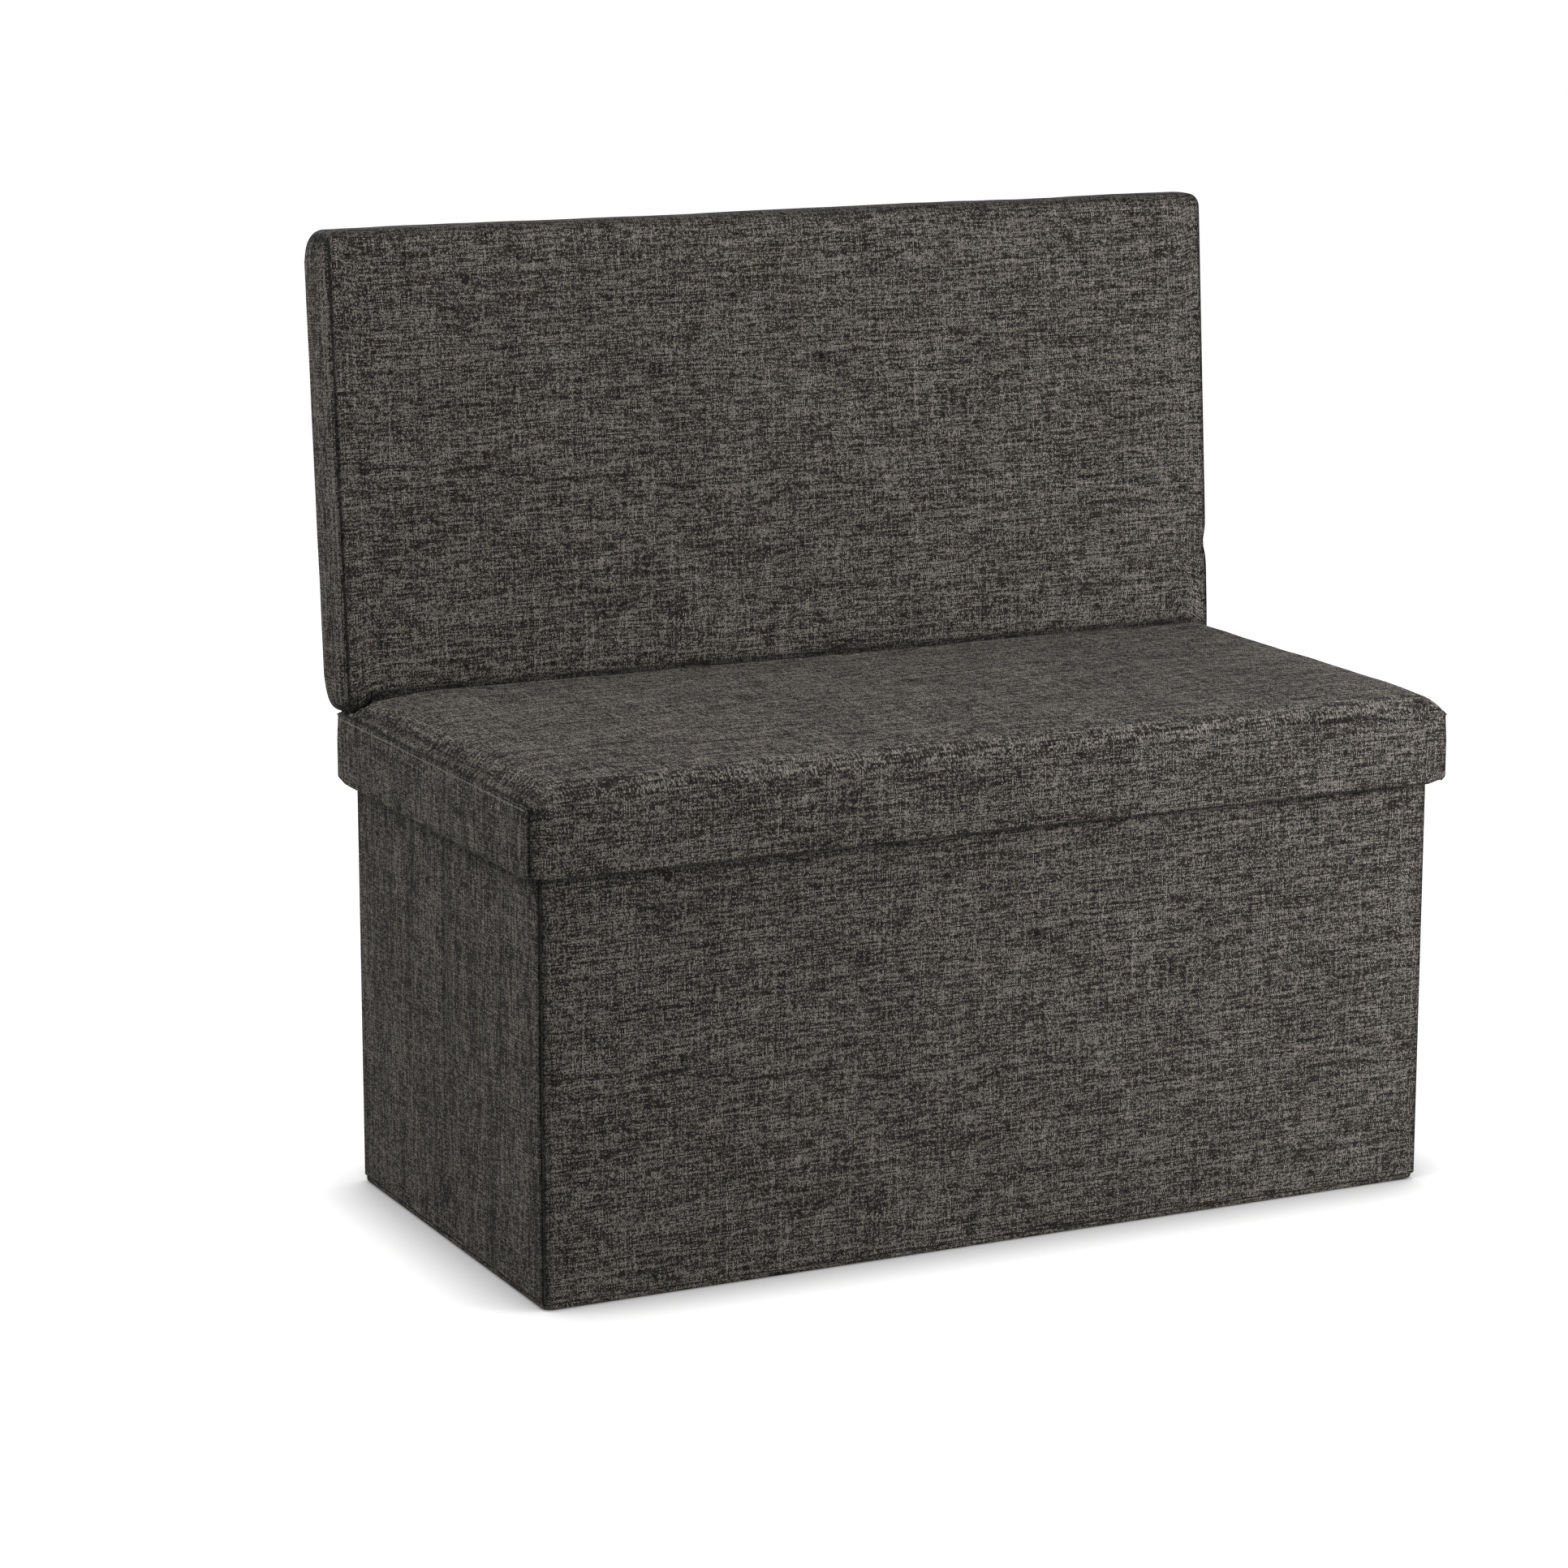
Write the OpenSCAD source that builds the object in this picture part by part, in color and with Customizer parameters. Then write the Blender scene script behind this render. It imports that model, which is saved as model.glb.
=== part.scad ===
// Folding storage bench: a box of fabric covered walls that fold flat, a padded lid that lifts off
// and a padded backrest on a fabric hinge at the rear of the lid.
// The origin is on the floor under the middle of the lid, +Z is up and the front faces -Y.

/* [Lid] */
// Width of the lid over its skirt
seat_w = 760; // [600:5:900]
// Depth of the lid over its skirt
seat_d = 380; // [320:5:450]
// Height of the skirt from its hem to the seam under the padded top
skirt_h = 53; // [40:1:70]
// Thickness of the panel inside the lid
lid_board_t = 9; // [6:0.5:15]
// Thickness of the fibreboard strips inside the skirt
skirt_board_t = 3; // [2:0.5:5]
// Radius of the lid's upright corners
lid_corner_r = 6; // [3:0.5:10]

/* [Seat cushion] */
// Height of the rounded shoulder above the edge seam
shoulder_h = 14; // [10:0.5:20]
// Width of the rounded shoulder
shoulder_w = 18; // [14:1:30]
// Further rise from the shoulder to the middle of the seat
seat_dome = 4; // [2:0.5:8]
// How far the shoulder is drawn in at the middle of each side
seat_pull = 1.5; // [0:0.25:3]
// Thickness of the wadding between the top of the foam and the shoulder
seat_wadding_t = 2; // [1:0.25:4]
// How far the foam block reaches under the shoulder
foam_reach = 4; // [1:0.5:5]
// Padding left under the foot of the backrest
deck_t = 4; // [3:0.5:8]

/* [Box] */
// Height of the walls
wall_h = 356; // [250:2:420]
// Thickness of the fibreboard in a wall
wall_board_t = 8; // [5:0.5:12]
// Radius of a wall's padded outer edges
wall_edge_r = 5; // [2:0.5:6]
// Radius of the edges beside a corner seam
seam_edge_r = 2.5; // [1:0.25:3]
// Width of the linen turned over onto the inside of a wall
turn_in = 9; // [5:1:20]

/* [Floor] */
// Thickness of the hardboard in the floor
floor_board_t = 3; // [2:0.5:6]
// Distance from the walls' outer faces to the floor's edge
floor_inset = 3; // [1:0.5:8]
// Radius of the floor's corners
floor_corner_r = 8; // [4:1:20]

/* [Backrest] */
// Height of the backrest's top seam above the floor
total_h = 730; // [600:5:800]
// Distance from the lid's ends to the backrest's side seams
back_end_set = 2; // [0:0.5:20]
// Thickness of the backrest over its panels
back_t = 58; // [40:1:80]
// Angle at which the backrest leans back
back_lean = 4.3; // [2:0.1:8]
// Distance from the rear of the lid to the backrest's hinge
back_set = 28; // [20:1:40]
// Thickness of the panel inside the backrest
back_board_t = 6; // [4:0.5:12]
// Radius of the backrest's corners
back_corner_r = 18; // [10:1:30]
// Depth of the front panel's crown, from its seam to its middle
back_crown = 5; // [3:0.5:7]
// Depth of the back panel's crown
rear_crown = 2.5; // [1.5:0.5:4]
// Width of the border in which a panel's crown rises
crown_w = 60; // [40:5:90]
// How far the side band swells beyond the seams
band_swell = 2; // [1:0.25:4]
// How far the side band is drawn in at the middle of each side
band_pull = 1.5; // [0:0.25:3]
// Padding between the core of the backrest and the seams around it
core_inset = 7; // [5:0.5:15]

/* [Fabric] */
// Thickness of the linen with its wadding on the outside of a wall
cover_t = 2.5; // [1.5:0.25:4]
// Thickness of the linen where it wraps an edge
wrap_t = 1.5; // [1:0.25:2]
// Thickness of the lining on the inside
lining_t = 1.5; // [1:0.25:2.5]
// Thickness of the cloth round the floor
floor_wrap_t = 0.75; // [0.5:0.25:1.5]
// Thickness of the hinge strip
hinge_t = 1.2; // [0.8:0.1:2]

/* [Clearances] */
// Gap between the skirt and the box
lid_gap = 5.5; // [4:0.5:9]
// Gap at the ends of the side walls and at their crease
fold_gap = 0.5; // [0.3:0.1:1]
// Gap above and below the walls that fold
rub_gap = 0.3; // [0.2:0.1:0.6]
// Gap between the foot of the backrest and the hinge strip round it
foot_gap = 0.3; // [0.3:0.1:1]
// Height of the hinge line above the top of the seat cushion
hinge_rise = 0.5; // [0.5:0.25:3]

/* [Hidden] */
$fn = 48;
eps = 0.1;
linen = "#47423d";
lining = "#26262a";
fibreboard = "#a3835c";
foam = "#e6dfc6";

// Lid
skirt_t = 2 * wrap_t + skirt_board_t;
floor_t = floor_board_t + 2 * floor_wrap_t;
wall_top_z = floor_t + wall_h;
lid_board_z = wall_top_z + lining_t;
seam_z = lid_board_z + lid_board_t;
hem_z = seam_z - skirt_h;

// Box
box_w = seat_w - 2 * (skirt_t + lid_gap);
box_d = seat_d - 2 * (skirt_t + lid_gap);
wall_t = cover_t + wall_board_t + lining_t;
full_wall_radii = [wall_edge_r, wall_edge_r, seam_edge_r, seam_edge_r];
half_wall_radii = [0, seam_edge_r, 0, 0];
folding_wall_h = wall_h - 2 * rub_gap;
// Half a gap at the crease and a whole one at the corner
half_wall_l = box_d / 2 - wall_t - 1.5 * fold_gap;

// Seat cushion
seat_foam_t = shoulder_h - seat_wadding_t;
seat_foam_inset = shoulder_w - foam_reach;

// Backrest, in its own frame: the hinge line is the origin, Y points to the rear and Z up the back
back_w = seat_w - 2 * back_end_set;
hinge_y = seat_d / 2 - back_set;
hinge_z = seam_z + shoulder_h + seat_dome + hinge_rise;
back_rise = (total_h - hinge_z) / cos(back_lean);
deck_drop = (hinge_z - seam_z - deck_t) * cos(back_lean) - back_set * sin(back_lean);
back_drop = deck_drop - hinge_t - foot_gap - band_swell;
back_h = back_rise + back_drop;
front_seam = back_crown / 2;
rear_seam = back_t - back_crown / 2 - rear_crown;
core_w = back_w - 2 * core_inset;
core_h = back_h - 2 * core_inset;
recess_front = hinge_t + foot_gap;
leaf_w = back_w - 2 * back_corner_r;

// Soft forms: points on each corner and on each side of a ring, and rings across the backrest's band
corner_n = 7;
side_n = 8;
ring_n = 4 * (corner_n + side_n);
band_n = 6;
// Where the rings lie: shares of the shoulder's width, of half the seat's depth and of the crown's border
shoulder_shares = [0.02, 0.08, 0.17, 0.33, 0.55, 0.8, 1.1];
dome_shares = [0.22, 0.35, 0.55, 0.8];
crown_shares = [0.07, 0.17, 0.37, 0.67, 1];
// How full the shoulder is, and how round the smallest rings may get
shoulder_power = 2.5;
round_share = 0.8;

// A rectangle from the origin with a radius for each corner: near left, near right, far right, far left
module rounded_rect(w, d, radii) {
    difference() {
        square([w, d]);
        corner_cut(0, 0, 0, radii[0]);
        corner_cut(w, 0, 90, radii[1]);
        corner_cut(w, d, 180, radii[2]);
        corner_cut(0, d, 270, radii[3]);
    }
}

// What a rounded corner takes away from a square one
module corner_cut(x, y, turn, r) {
    if (r > 0)
        translate([x, y]) rotate(turn) difference() {
            translate([-eps, -eps]) square(r + eps);
            translate([r, r]) circle(r);
        }
}

// A plate centred on the Z axis with equal corner radii
module centred_plate(w, d, h, r) {
    translate([-w / 2, -d / 2, 0]) linear_extrude(h) rounded_rect(w, d, [r, r, r, r]);
}

// A box centred on the Z axis
module centred_box(w, d, h) {
    translate([-w / 2, -d / 2, 0]) cube([w, d, h]);
}

// A wall's padded outer form: its length along X, its outer face on Y = 0
module wall_form(length, height, plan_radii) {
    intersection() {
        linear_extrude(height) rounded_rect(length, wall_t, plan_radii);
        rotate([90, 0, 90]) linear_extrude(length)
            rounded_rect(wall_t, height, [wall_edge_r, seam_edge_r, seam_edge_r, wall_edge_r]);
    }
}

module wall_core(length, height) {
    translate([wrap_t, cover_t, wrap_t]) cube([length - 2 * wrap_t, wall_board_t, height - 2 * wrap_t]);
}

module wall_inside(length, height) {
    translate([turn_in, wall_t - lining_t, turn_in])
        cube([length - 2 * turn_in, lining_t, height - 2 * turn_in]);
}

module wall_outside(length, height, plan_radii) {
    difference() {
        wall_form(length, height, plan_radii);
        wall_core(length, height);
        translate([turn_in, wall_t - lining_t - eps, turn_in])
            cube([length - 2 * turn_in, lining_t + 2 * eps, height - 2 * turn_in]);
    }
}

// Full width walls: the back one stands on the floor, the front one clears it to fold
module at_front(gap) {
    translate([-box_w / 2, -box_d / 2, floor_t + gap]) children();
}

module at_back() {
    mirror([0, 1, 0]) at_front(0) children();
}

// Side walls: the rear half of the left one, from its crease to the corner; the others mirror it
module at_left_rear() {
    translate([-box_w / 2, fold_gap / 2, floor_t + rub_gap]) mirror([1, -1, 0]) children();
}

module half_board() {
    at_left_rear() wall_core(half_wall_l, folding_wall_h);
}

module half_cover() {
    at_left_rear() wall_outside(half_wall_l, folding_wall_h, half_wall_radii);
}

module half_lining() {
    at_left_rear() wall_inside(half_wall_l, folding_wall_h);
}

// A closed ring of points: a rounded rectangle whose sides are drawn in at their middles
function corner_point(q, turn, cx, cy, r) = [
    (q == 0 || q == 3 ? cx : -cx) + r * cos(turn),
    (q < 2 ? cy : -cy) + r * sin(turn)
];

function side_point(q, share, cx, cy, r, pull) =
    let (turn = 90 * (q + 1))
    let (from = corner_point(q, turn, cx, cy, r))
    let (to = corner_point((q + 1) % 4, turn, cx, cy, r))
    from + (to - from) * share - [cos(turn), sin(turn)] * pull * pow(sin(180 * share), 2);

function ring(w, d, r, pull) =
    let (cx = w / 2 - r, cy = d / 2 - r)
    [
        for (q = [0:3])
            each concat(
                [for (k = [0:corner_n]) corner_point(q, 90 * (q + k / corner_n), cx, cy, r)],
                [for (s = [1:side_n - 1]) side_point(q, s / side_n, cx, cy, r, pull)]
            )
    ];

// An inner ring has rounder corners than the edge
function inner_r(r, inset, d) = min(r + max(inset, 0) / 2, round_share * (d / 2 - inset));

// A closed skin through a stack of rings, each given as [inset, height, pull]
module soft_skin(w, d, r, stack) {
    last = len(stack) - 1;
    side_points = [
        for (level = stack)
            let (inset = level[0])
            for (p = ring(w - 2 * inset, d - 2 * inset, inner_r(r, inset, d), level[2]))
                [p[0], p[1], level[1]]
    ];
    foot = len(side_points);
    walls = [
        for (k = [0:last - 1])
            for (i = [0:ring_n - 1])
                let (a = k * ring_n + i, b = k * ring_n + (i + 1) % ring_n)
                each [[a, a + ring_n, b + ring_n], [a, b + ring_n, b]]
    ];
    ends = [
        for (i = [0:ring_n - 1])
            let (j = (i + 1) % ring_n)
            each [[foot, i, j], [foot + 1, last * ring_n + j, last * ring_n + i]]
    ];
    polyhedron(concat(side_points, [[0, 0, stack[0][1]], [0, 0, stack[last][1]]]), concat(walls, ends));
}

// Seat cushion
function seat_height(inset) =
    shoulder_h * (1 - pow(1 - min(inset / shoulder_w, 1), shoulder_power))
    + seat_dome * (1 - pow(1 - min(2 * inset / seat_d, 1), 2));

seat_insets = concat(shoulder_shares * shoulder_w, dome_shares * seat_d / 2);
seat_stack = concat(
    [[0, 0, 0]],
    [for (inset = seat_insets) [inset, seat_height(inset), seat_pull * min(2 * inset / shoulder_w, 1)]]
);

module seat_block(grow) {
    front_y = -seat_d / 2 + seat_foam_inset;
    rear_y = hinge_y - recess_front - deck_drop * sin(back_lean) - wrap_t;
    w = seat_w - 2 * seat_foam_inset;
    translate([-w / 2, front_y, seam_z - grow]) cube([w, rear_y - front_y, seat_foam_t + grow]);
}

module in_back_frame() {
    translate([0, hinge_y, hinge_z]) rotate([-back_lean, 0, 0]) children();
}

// The recess for the foot of the backrest and the hinge strip round it
module foot_recess() {
    in_back_frame() translate([-seat_w, -recess_front, -deck_drop]) cube([2 * seat_w, seat_d, seat_d]);
}

// Backrest: the rings are stacked from the front panel to the back panel
function panel_level(share, seam, crown) = [share * crown_w, seam + crown * (1 - pow(1 - share, 2)), 0];

last_share = len(crown_shares) - 1;
front_stack = concat(
    [for (k = [last_share:-1:0]) panel_level(crown_shares[k], front_seam, -back_crown)],
    [[0, front_seam, band_pull]]
);
rear_stack = concat(
    [[0, rear_seam, band_pull]],
    [for (share = crown_shares) panel_level(share, rear_seam, rear_crown)]
);
band_stack = [
    for (k = [0:band_n])
        [
            -band_swell * sin(180 * k / band_n),
            front_seam + (rear_seam - front_seam) * k / band_n,
            band_pull
        ]
];

module at_back_middle() {
    in_back_frame() translate([0, 0, (back_rise - back_drop) / 2]) rotate([-90, 0, 0]) children();
}

module back_skin(stack) {
    at_back_middle() soft_skin(back_w, back_h, back_corner_r, stack);
}

module back_block(from, to) {
    at_back_middle() translate([0, 0, from]) centred_box(core_w, core_h, to - from);
}

// Floor
module floor_board() {
    color(fibreboard)
        translate([0, 0, floor_wrap_t])
            centred_plate(
                box_w - 2 * (floor_inset + floor_wrap_t), box_d - 2 * (floor_inset + floor_wrap_t),
                floor_board_t, floor_corner_r - floor_wrap_t
            );
}

module floor_cover() {
    color(lining) difference() {
        centred_plate(box_w - 2 * floor_inset, box_d - 2 * floor_inset, floor_t, floor_corner_r);
        floor_board();
    }
}

// Walls
module back_wall_board() {
    color(fibreboard) at_back() wall_core(box_w, wall_h);
}

module back_wall_cover() {
    color(linen) at_back() wall_outside(box_w, wall_h, full_wall_radii);
}

module back_wall_lining() {
    color(lining) at_back() wall_inside(box_w, wall_h);
}

module front_wall_board() {
    color(fibreboard) at_front(rub_gap) wall_core(box_w, folding_wall_h);
}

module front_wall_cover() {
    color(linen) at_front(rub_gap) wall_outside(box_w, folding_wall_h, full_wall_radii);
}

module front_wall_lining() {
    color(lining) at_front(rub_gap) wall_inside(box_w, folding_wall_h);
}

module left_rear_board() {
    color(fibreboard) half_board();
}

module left_rear_cover() {
    color(linen) half_cover();
}

module left_rear_lining() {
    color(lining) half_lining();
}

module left_front_board() {
    color(fibreboard) mirror([0, 1, 0]) half_board();
}

module left_front_cover() {
    color(linen) mirror([0, 1, 0]) half_cover();
}

module left_front_lining() {
    color(lining) mirror([0, 1, 0]) half_lining();
}

module right_rear_board() {
    color(fibreboard) mirror([1, 0, 0]) half_board();
}

module right_rear_cover() {
    color(linen) mirror([1, 0, 0]) half_cover();
}

module right_rear_lining() {
    color(lining) mirror([1, 0, 0]) half_lining();
}

module right_front_board() {
    color(fibreboard) rotate([0, 0, 180]) half_board();
}

module right_front_cover() {
    color(linen) rotate([0, 0, 180]) half_cover();
}

module right_front_lining() {
    color(lining) rotate([0, 0, 180]) half_lining();
}

// Lid
module lid_board() {
    inset = wrap_t + skirt_board_t;
    color(fibreboard)
        translate([0, 0, lid_board_z]) centred_box(seat_w - 2 * inset, seat_d - 2 * inset, lid_board_t);
}

module lid_lining() {
    color(lining)
        translate([0, 0, wall_top_z]) centred_box(seat_w - 2 * skirt_t, seat_d - 2 * skirt_t, lining_t);
}

module skirt_strip(length) {
    translate([-length / 2, 0, hem_z + wrap_t]) cube([length, skirt_board_t, skirt_h - wrap_t]);
}

module skirt_front_board() {
    color(fibreboard)
        translate([0, -seat_d / 2 + wrap_t, 0]) skirt_strip(seat_w - 2 * lid_corner_r);
}

module skirt_back_board() {
    color(fibreboard) mirror([0, 1, 0])
        translate([0, -seat_d / 2 + wrap_t, 0]) skirt_strip(seat_w - 2 * lid_corner_r);
}

module skirt_left_board() {
    color(fibreboard) mirror([1, -1, 0])
        translate([0, -seat_w / 2 + wrap_t, 0]) skirt_strip(seat_d - 2 * lid_corner_r);
}

module skirt_right_board() {
    color(fibreboard) mirror([1, 0, 0]) mirror([1, -1, 0])
        translate([0, -seat_w / 2 + wrap_t, 0]) skirt_strip(seat_d - 2 * lid_corner_r);
}

// The linen wraps the strips: down the outside, under the hem and up the inside
module skirt_cover() {
    outer_r = lid_corner_r - wrap_t;
    board_inset = wrap_t + skirt_board_t;
    color(linen) translate([0, 0, hem_z]) difference() {
        centred_plate(seat_w, seat_d, skirt_h, lid_corner_r);
        translate([0, 0, -eps])
            centred_box(seat_w - 2 * skirt_t, seat_d - 2 * skirt_t, skirt_h + 2 * eps);
        translate([0, 0, wrap_t]) difference() {
            centred_plate(seat_w - 2 * wrap_t, seat_d - 2 * wrap_t, skirt_h, outer_r);
            centred_box(seat_w - 2 * board_inset, seat_d - 2 * board_inset, lid_board_z - hem_z - wrap_t);
        }
    }
}

module seat_foam() {
    color(foam) seat_block(0);
}

module seat_cover() {
    color(linen) difference() {
        translate([0, 0, seam_z]) soft_skin(seat_w, seat_d, lid_corner_r, seat_stack);
        seat_block(eps);
        foot_recess();
    }
}

// Backrest hinge: one leaf lies under the foot of the backrest, the other stands up to the hinge line
module hinge_strip() {
    color(linen) in_back_frame() difference() {
        translate([-leaf_w / 2, -recess_front, -deck_drop])
            cube([leaf_w, back_set - hinge_t, deck_drop - foot_gap]);
        translate([-leaf_w, -foot_gap, hinge_t - deck_drop]) cube([2 * leaf_w, 2 * back_set, 2 * deck_drop]);
    }
}

// Backrest
module backrest_board() {
    color(fibreboard) back_block(rear_seam - back_board_t, rear_seam);
}

module backrest_foam() {
    color(foam) back_block(front_seam, rear_seam - back_board_t);
}

module backrest_front_panel() {
    color(linen) back_skin(front_stack);
}

module backrest_band() {
    color(linen) difference() {
        back_skin(band_stack);
        back_block(front_seam - eps, rear_seam + eps);
    }
}

module backrest_back_panel() {
    color(linen) back_skin(rear_stack);
}

floor_board();
floor_cover();
back_wall_board();
back_wall_cover();
back_wall_lining();
front_wall_board();
front_wall_cover();
front_wall_lining();
left_rear_board();
left_rear_cover();
left_rear_lining();
left_front_board();
left_front_cover();
left_front_lining();
right_rear_board();
right_rear_cover();
right_rear_lining();
right_front_board();
right_front_cover();
right_front_lining();
lid_board();
lid_lining();
seat_foam();
seat_cover();
skirt_front_board();
skirt_back_board();
skirt_left_board();
skirt_right_board();
skirt_cover();
hinge_strip();
backrest_board();
backrest_foam();
backrest_front_panel();
backrest_band();
backrest_back_panel();
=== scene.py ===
import math

import bmesh
import bpy
import numpy as np
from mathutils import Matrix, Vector, noise
from mathutils.bvhtree import BVHTree


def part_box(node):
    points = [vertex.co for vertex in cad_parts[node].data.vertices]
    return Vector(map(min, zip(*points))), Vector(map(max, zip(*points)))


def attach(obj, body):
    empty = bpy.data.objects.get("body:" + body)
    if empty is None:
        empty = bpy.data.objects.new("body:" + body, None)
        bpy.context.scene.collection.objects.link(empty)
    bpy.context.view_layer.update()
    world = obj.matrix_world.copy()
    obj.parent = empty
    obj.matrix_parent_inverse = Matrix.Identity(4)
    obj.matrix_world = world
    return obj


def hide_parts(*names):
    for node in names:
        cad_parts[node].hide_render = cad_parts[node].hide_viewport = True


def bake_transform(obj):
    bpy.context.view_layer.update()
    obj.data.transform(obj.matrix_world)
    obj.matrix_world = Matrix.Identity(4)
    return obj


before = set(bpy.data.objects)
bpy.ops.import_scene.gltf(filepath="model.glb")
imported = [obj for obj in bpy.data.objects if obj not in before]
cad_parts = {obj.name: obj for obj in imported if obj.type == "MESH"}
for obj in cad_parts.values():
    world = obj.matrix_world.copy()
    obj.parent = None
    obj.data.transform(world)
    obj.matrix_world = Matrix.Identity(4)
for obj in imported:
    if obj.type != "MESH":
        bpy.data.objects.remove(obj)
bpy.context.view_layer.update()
mm = 0.001
print("frame loaded:", len(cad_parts), "nodes")


# Camera: the place and lens that were fitted to the corners of the bench
camera = {
    "place": (-1.597, -3.080, 1.067),
    "pitch": 12.24,
    "yaw": 26.05,
    "lens": 106.7,
    "sensor": 36,
}


def makeCamera():
    lens = bpy.data.cameras.new("camera")
    lens.lens = camera["lens"]
    lens.sensor_width = camera["sensor"]
    lens.clip_end = 200
    eye = bpy.data.objects.new("camera", lens)
    eye.location = camera["place"]
    eye.rotation_euler = (math.radians(90 - camera["pitch"]), 0, math.radians(-camera["yaw"]))
    bpy.context.scene.collection.objects.link(eye)
    bpy.context.scene.camera = eye


# Small helpers for node trees
def newNode(tree, kind, settings=None, **inputs):
    node = tree.nodes.new(kind)
    for name, value in (settings or {}).items():
        setattr(node, name, value)
    for name, value in inputs.items():
        socket = node.inputs[int(name[1:])] if name[0] == "i" and name[1:].isdigit() else node.inputs[name]
        if isinstance(value, bpy.types.NodeSocket):
            tree.links.new(value, socket)
        else:
            socket.default_value = value
    return node


def maths(tree, operation, *values, clamp=False):
    inputs = {"i" + str(index): value for index, value in enumerate(values)}
    return newNode(tree, "ShaderNodeMath", {"operation": operation, "use_clamp": clamp}, **inputs).outputs[0]


def mixed(tree, share, first, second):
    return newNode(tree, "ShaderNodeMix", {"data_type": "FLOAT"}, i0=share, i2=first, i3=second).outputs[0]


def joined(tree, x, y):
    return newNode(tree, "ShaderNodeCombineXYZ", X=x, Y=y, Z=0.0).outputs[0]


def newGroup(name, inputs, outputs):
    group = bpy.data.node_groups.new(name, "ShaderNodeTree")
    for label, kind, value in inputs:
        socket = group.interface.new_socket(name=label, in_out="INPUT", socket_type=kind)
        if value is not None:
            socket.default_value = value
    for label, kind in outputs:
        group.interface.new_socket(name=label, in_out="OUTPUT", socket_type=kind)
    return group, group.nodes.new("NodeGroupInput").outputs, group.nodes.new("NodeGroupOutput").inputs


def makeLinenWeave():
    # Plain weave: each thread has its own shade, the weft lighter than the warp, with slubs along U
    tree, given, out = newGroup(
        "linenWeave",
        [
            ("Vector", "NodeSocketVector", None),
            ("Pitch", "NodeSocketFloat", 0.001),
            ("Threads", "NodeSocketFloat", 2.0),
            ("Fleck", "NodeSocketFloat", 0.5),
            ("Mottle", "NodeSocketFloat", 0.5),
            ("Slubs", "NodeSocketFloat", 0.5),
            ("Patches", "NodeSocketFloat", 0.1),
        ],
        [("Shade", "NodeSocketFloat"), ("Height", "NodeSocketFloat"), ("Roughness", "NodeSocketFloat")],
    )
    flat = {"noise_dimensions": "2D"}
    wander = newNode(tree, "ShaderNodeTexNoise", flat, Vector=given["Vector"], Scale=30.0, Detail=1.0)
    drift = newNode(
        tree, "ShaderNodeVectorMath", {"operation": "MULTIPLY_ADD"},
        i0=wander.outputs["Color"], i1=(1.6 * mm, 1.6 * mm, 0), i2=given["Vector"],
    )
    threads = newNode(
        tree, "ShaderNodeVectorMath", {"operation": "SCALE"},
        i0=drift.outputs[0], Scale=maths(tree, "DIVIDE", 1.0, given["Pitch"]),
    )
    split = newNode(tree, "ShaderNodeSeparateXYZ", Vector=threads.outputs[0])
    u, v = split.outputs["X"], split.outputs["Y"]
    column, row = maths(tree, "FLOOR", u), maths(tree, "FLOOR", v)
    weftOver = maths(tree, "PINGPONG", maths(tree, "ADD", column, row), 1.0)

    def varied(x, acrossX, y, acrossY, amount, detail=1.0):
        # Smooth noise about nought, stretched by its two scales
        spot = joined(tree, maths(tree, "MULTIPLY", x, acrossX), maths(tree, "MULTIPLY", y, acrossY))
        value = newNode(tree, "ShaderNodeTexNoise", flat, Vector=spot, Scale=1.0, Detail=detail)
        return maths(tree, "MULTIPLY", maths(tree, "SUBTRACT", value.outputs["Fac"], 0.5), amount)

    def added(*values):
        total = values[0]
        for value in values[1:]:
            total = maths(tree, "ADD", total, value)
        return total

    faint = maths(tree, "MULTIPLY", given["Threads"], 0.62)
    weft = added(varied(u, 0.055, row, 7.31, given["Threads"]), varied(u, 0.016, row, 3.17, faint))
    warp = added(varied(column, 5.17, v, 0.1, faint), varied(column, 2.73, v, 0.018, faint))
    shade = mixed(tree, weftOver, maths(tree, "ADD", warp, 0.42), maths(tree, "ADD", weft, 0.58))
    cell = newNode(tree, "ShaderNodeTexWhiteNoise", flat, Vector=joined(tree, column, row)).outputs["Value"]
    fleck = maths(tree, "MULTIPLY", maths(tree, "SUBTRACT", cell, 0.5), given["Fleck"])
    mottle = varied(u, 0.3, v, 0.45, given["Mottle"])
    slub = varied(u, 0.013, v, 0.3, given["Slubs"], 2.0)
    patch = varied(u, 0.02, v, 0.02, given["Patches"], 2.0)
    total = maths(tree, "ADD", added(shade, fleck, mottle, slub), patch, clamp=True)
    tree.links.new(total, out["Shade"])

    def hump(value):
        return maths(tree, "SINE", maths(tree, "MULTIPLY", maths(tree, "FRACT", value), math.pi))

    high, low = mixed(tree, weftOver, hump(u), hump(v)), mixed(tree, weftOver, hump(v), hump(u))
    crown = maths(tree, "MULTIPLY", high, maths(tree, "MULTIPLY_ADD", low, 0.5, 0.5))
    tree.links.new(added(crown, mottle, slub), out["Height"])
    rough = newNode(tree, "ShaderNodeMapRange", i0=total, i1=0.0, i2=1.0, i3=0.95, i4=0.78)
    tree.links.new(rough.outputs[0], out["Roughness"])
    return tree


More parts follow.
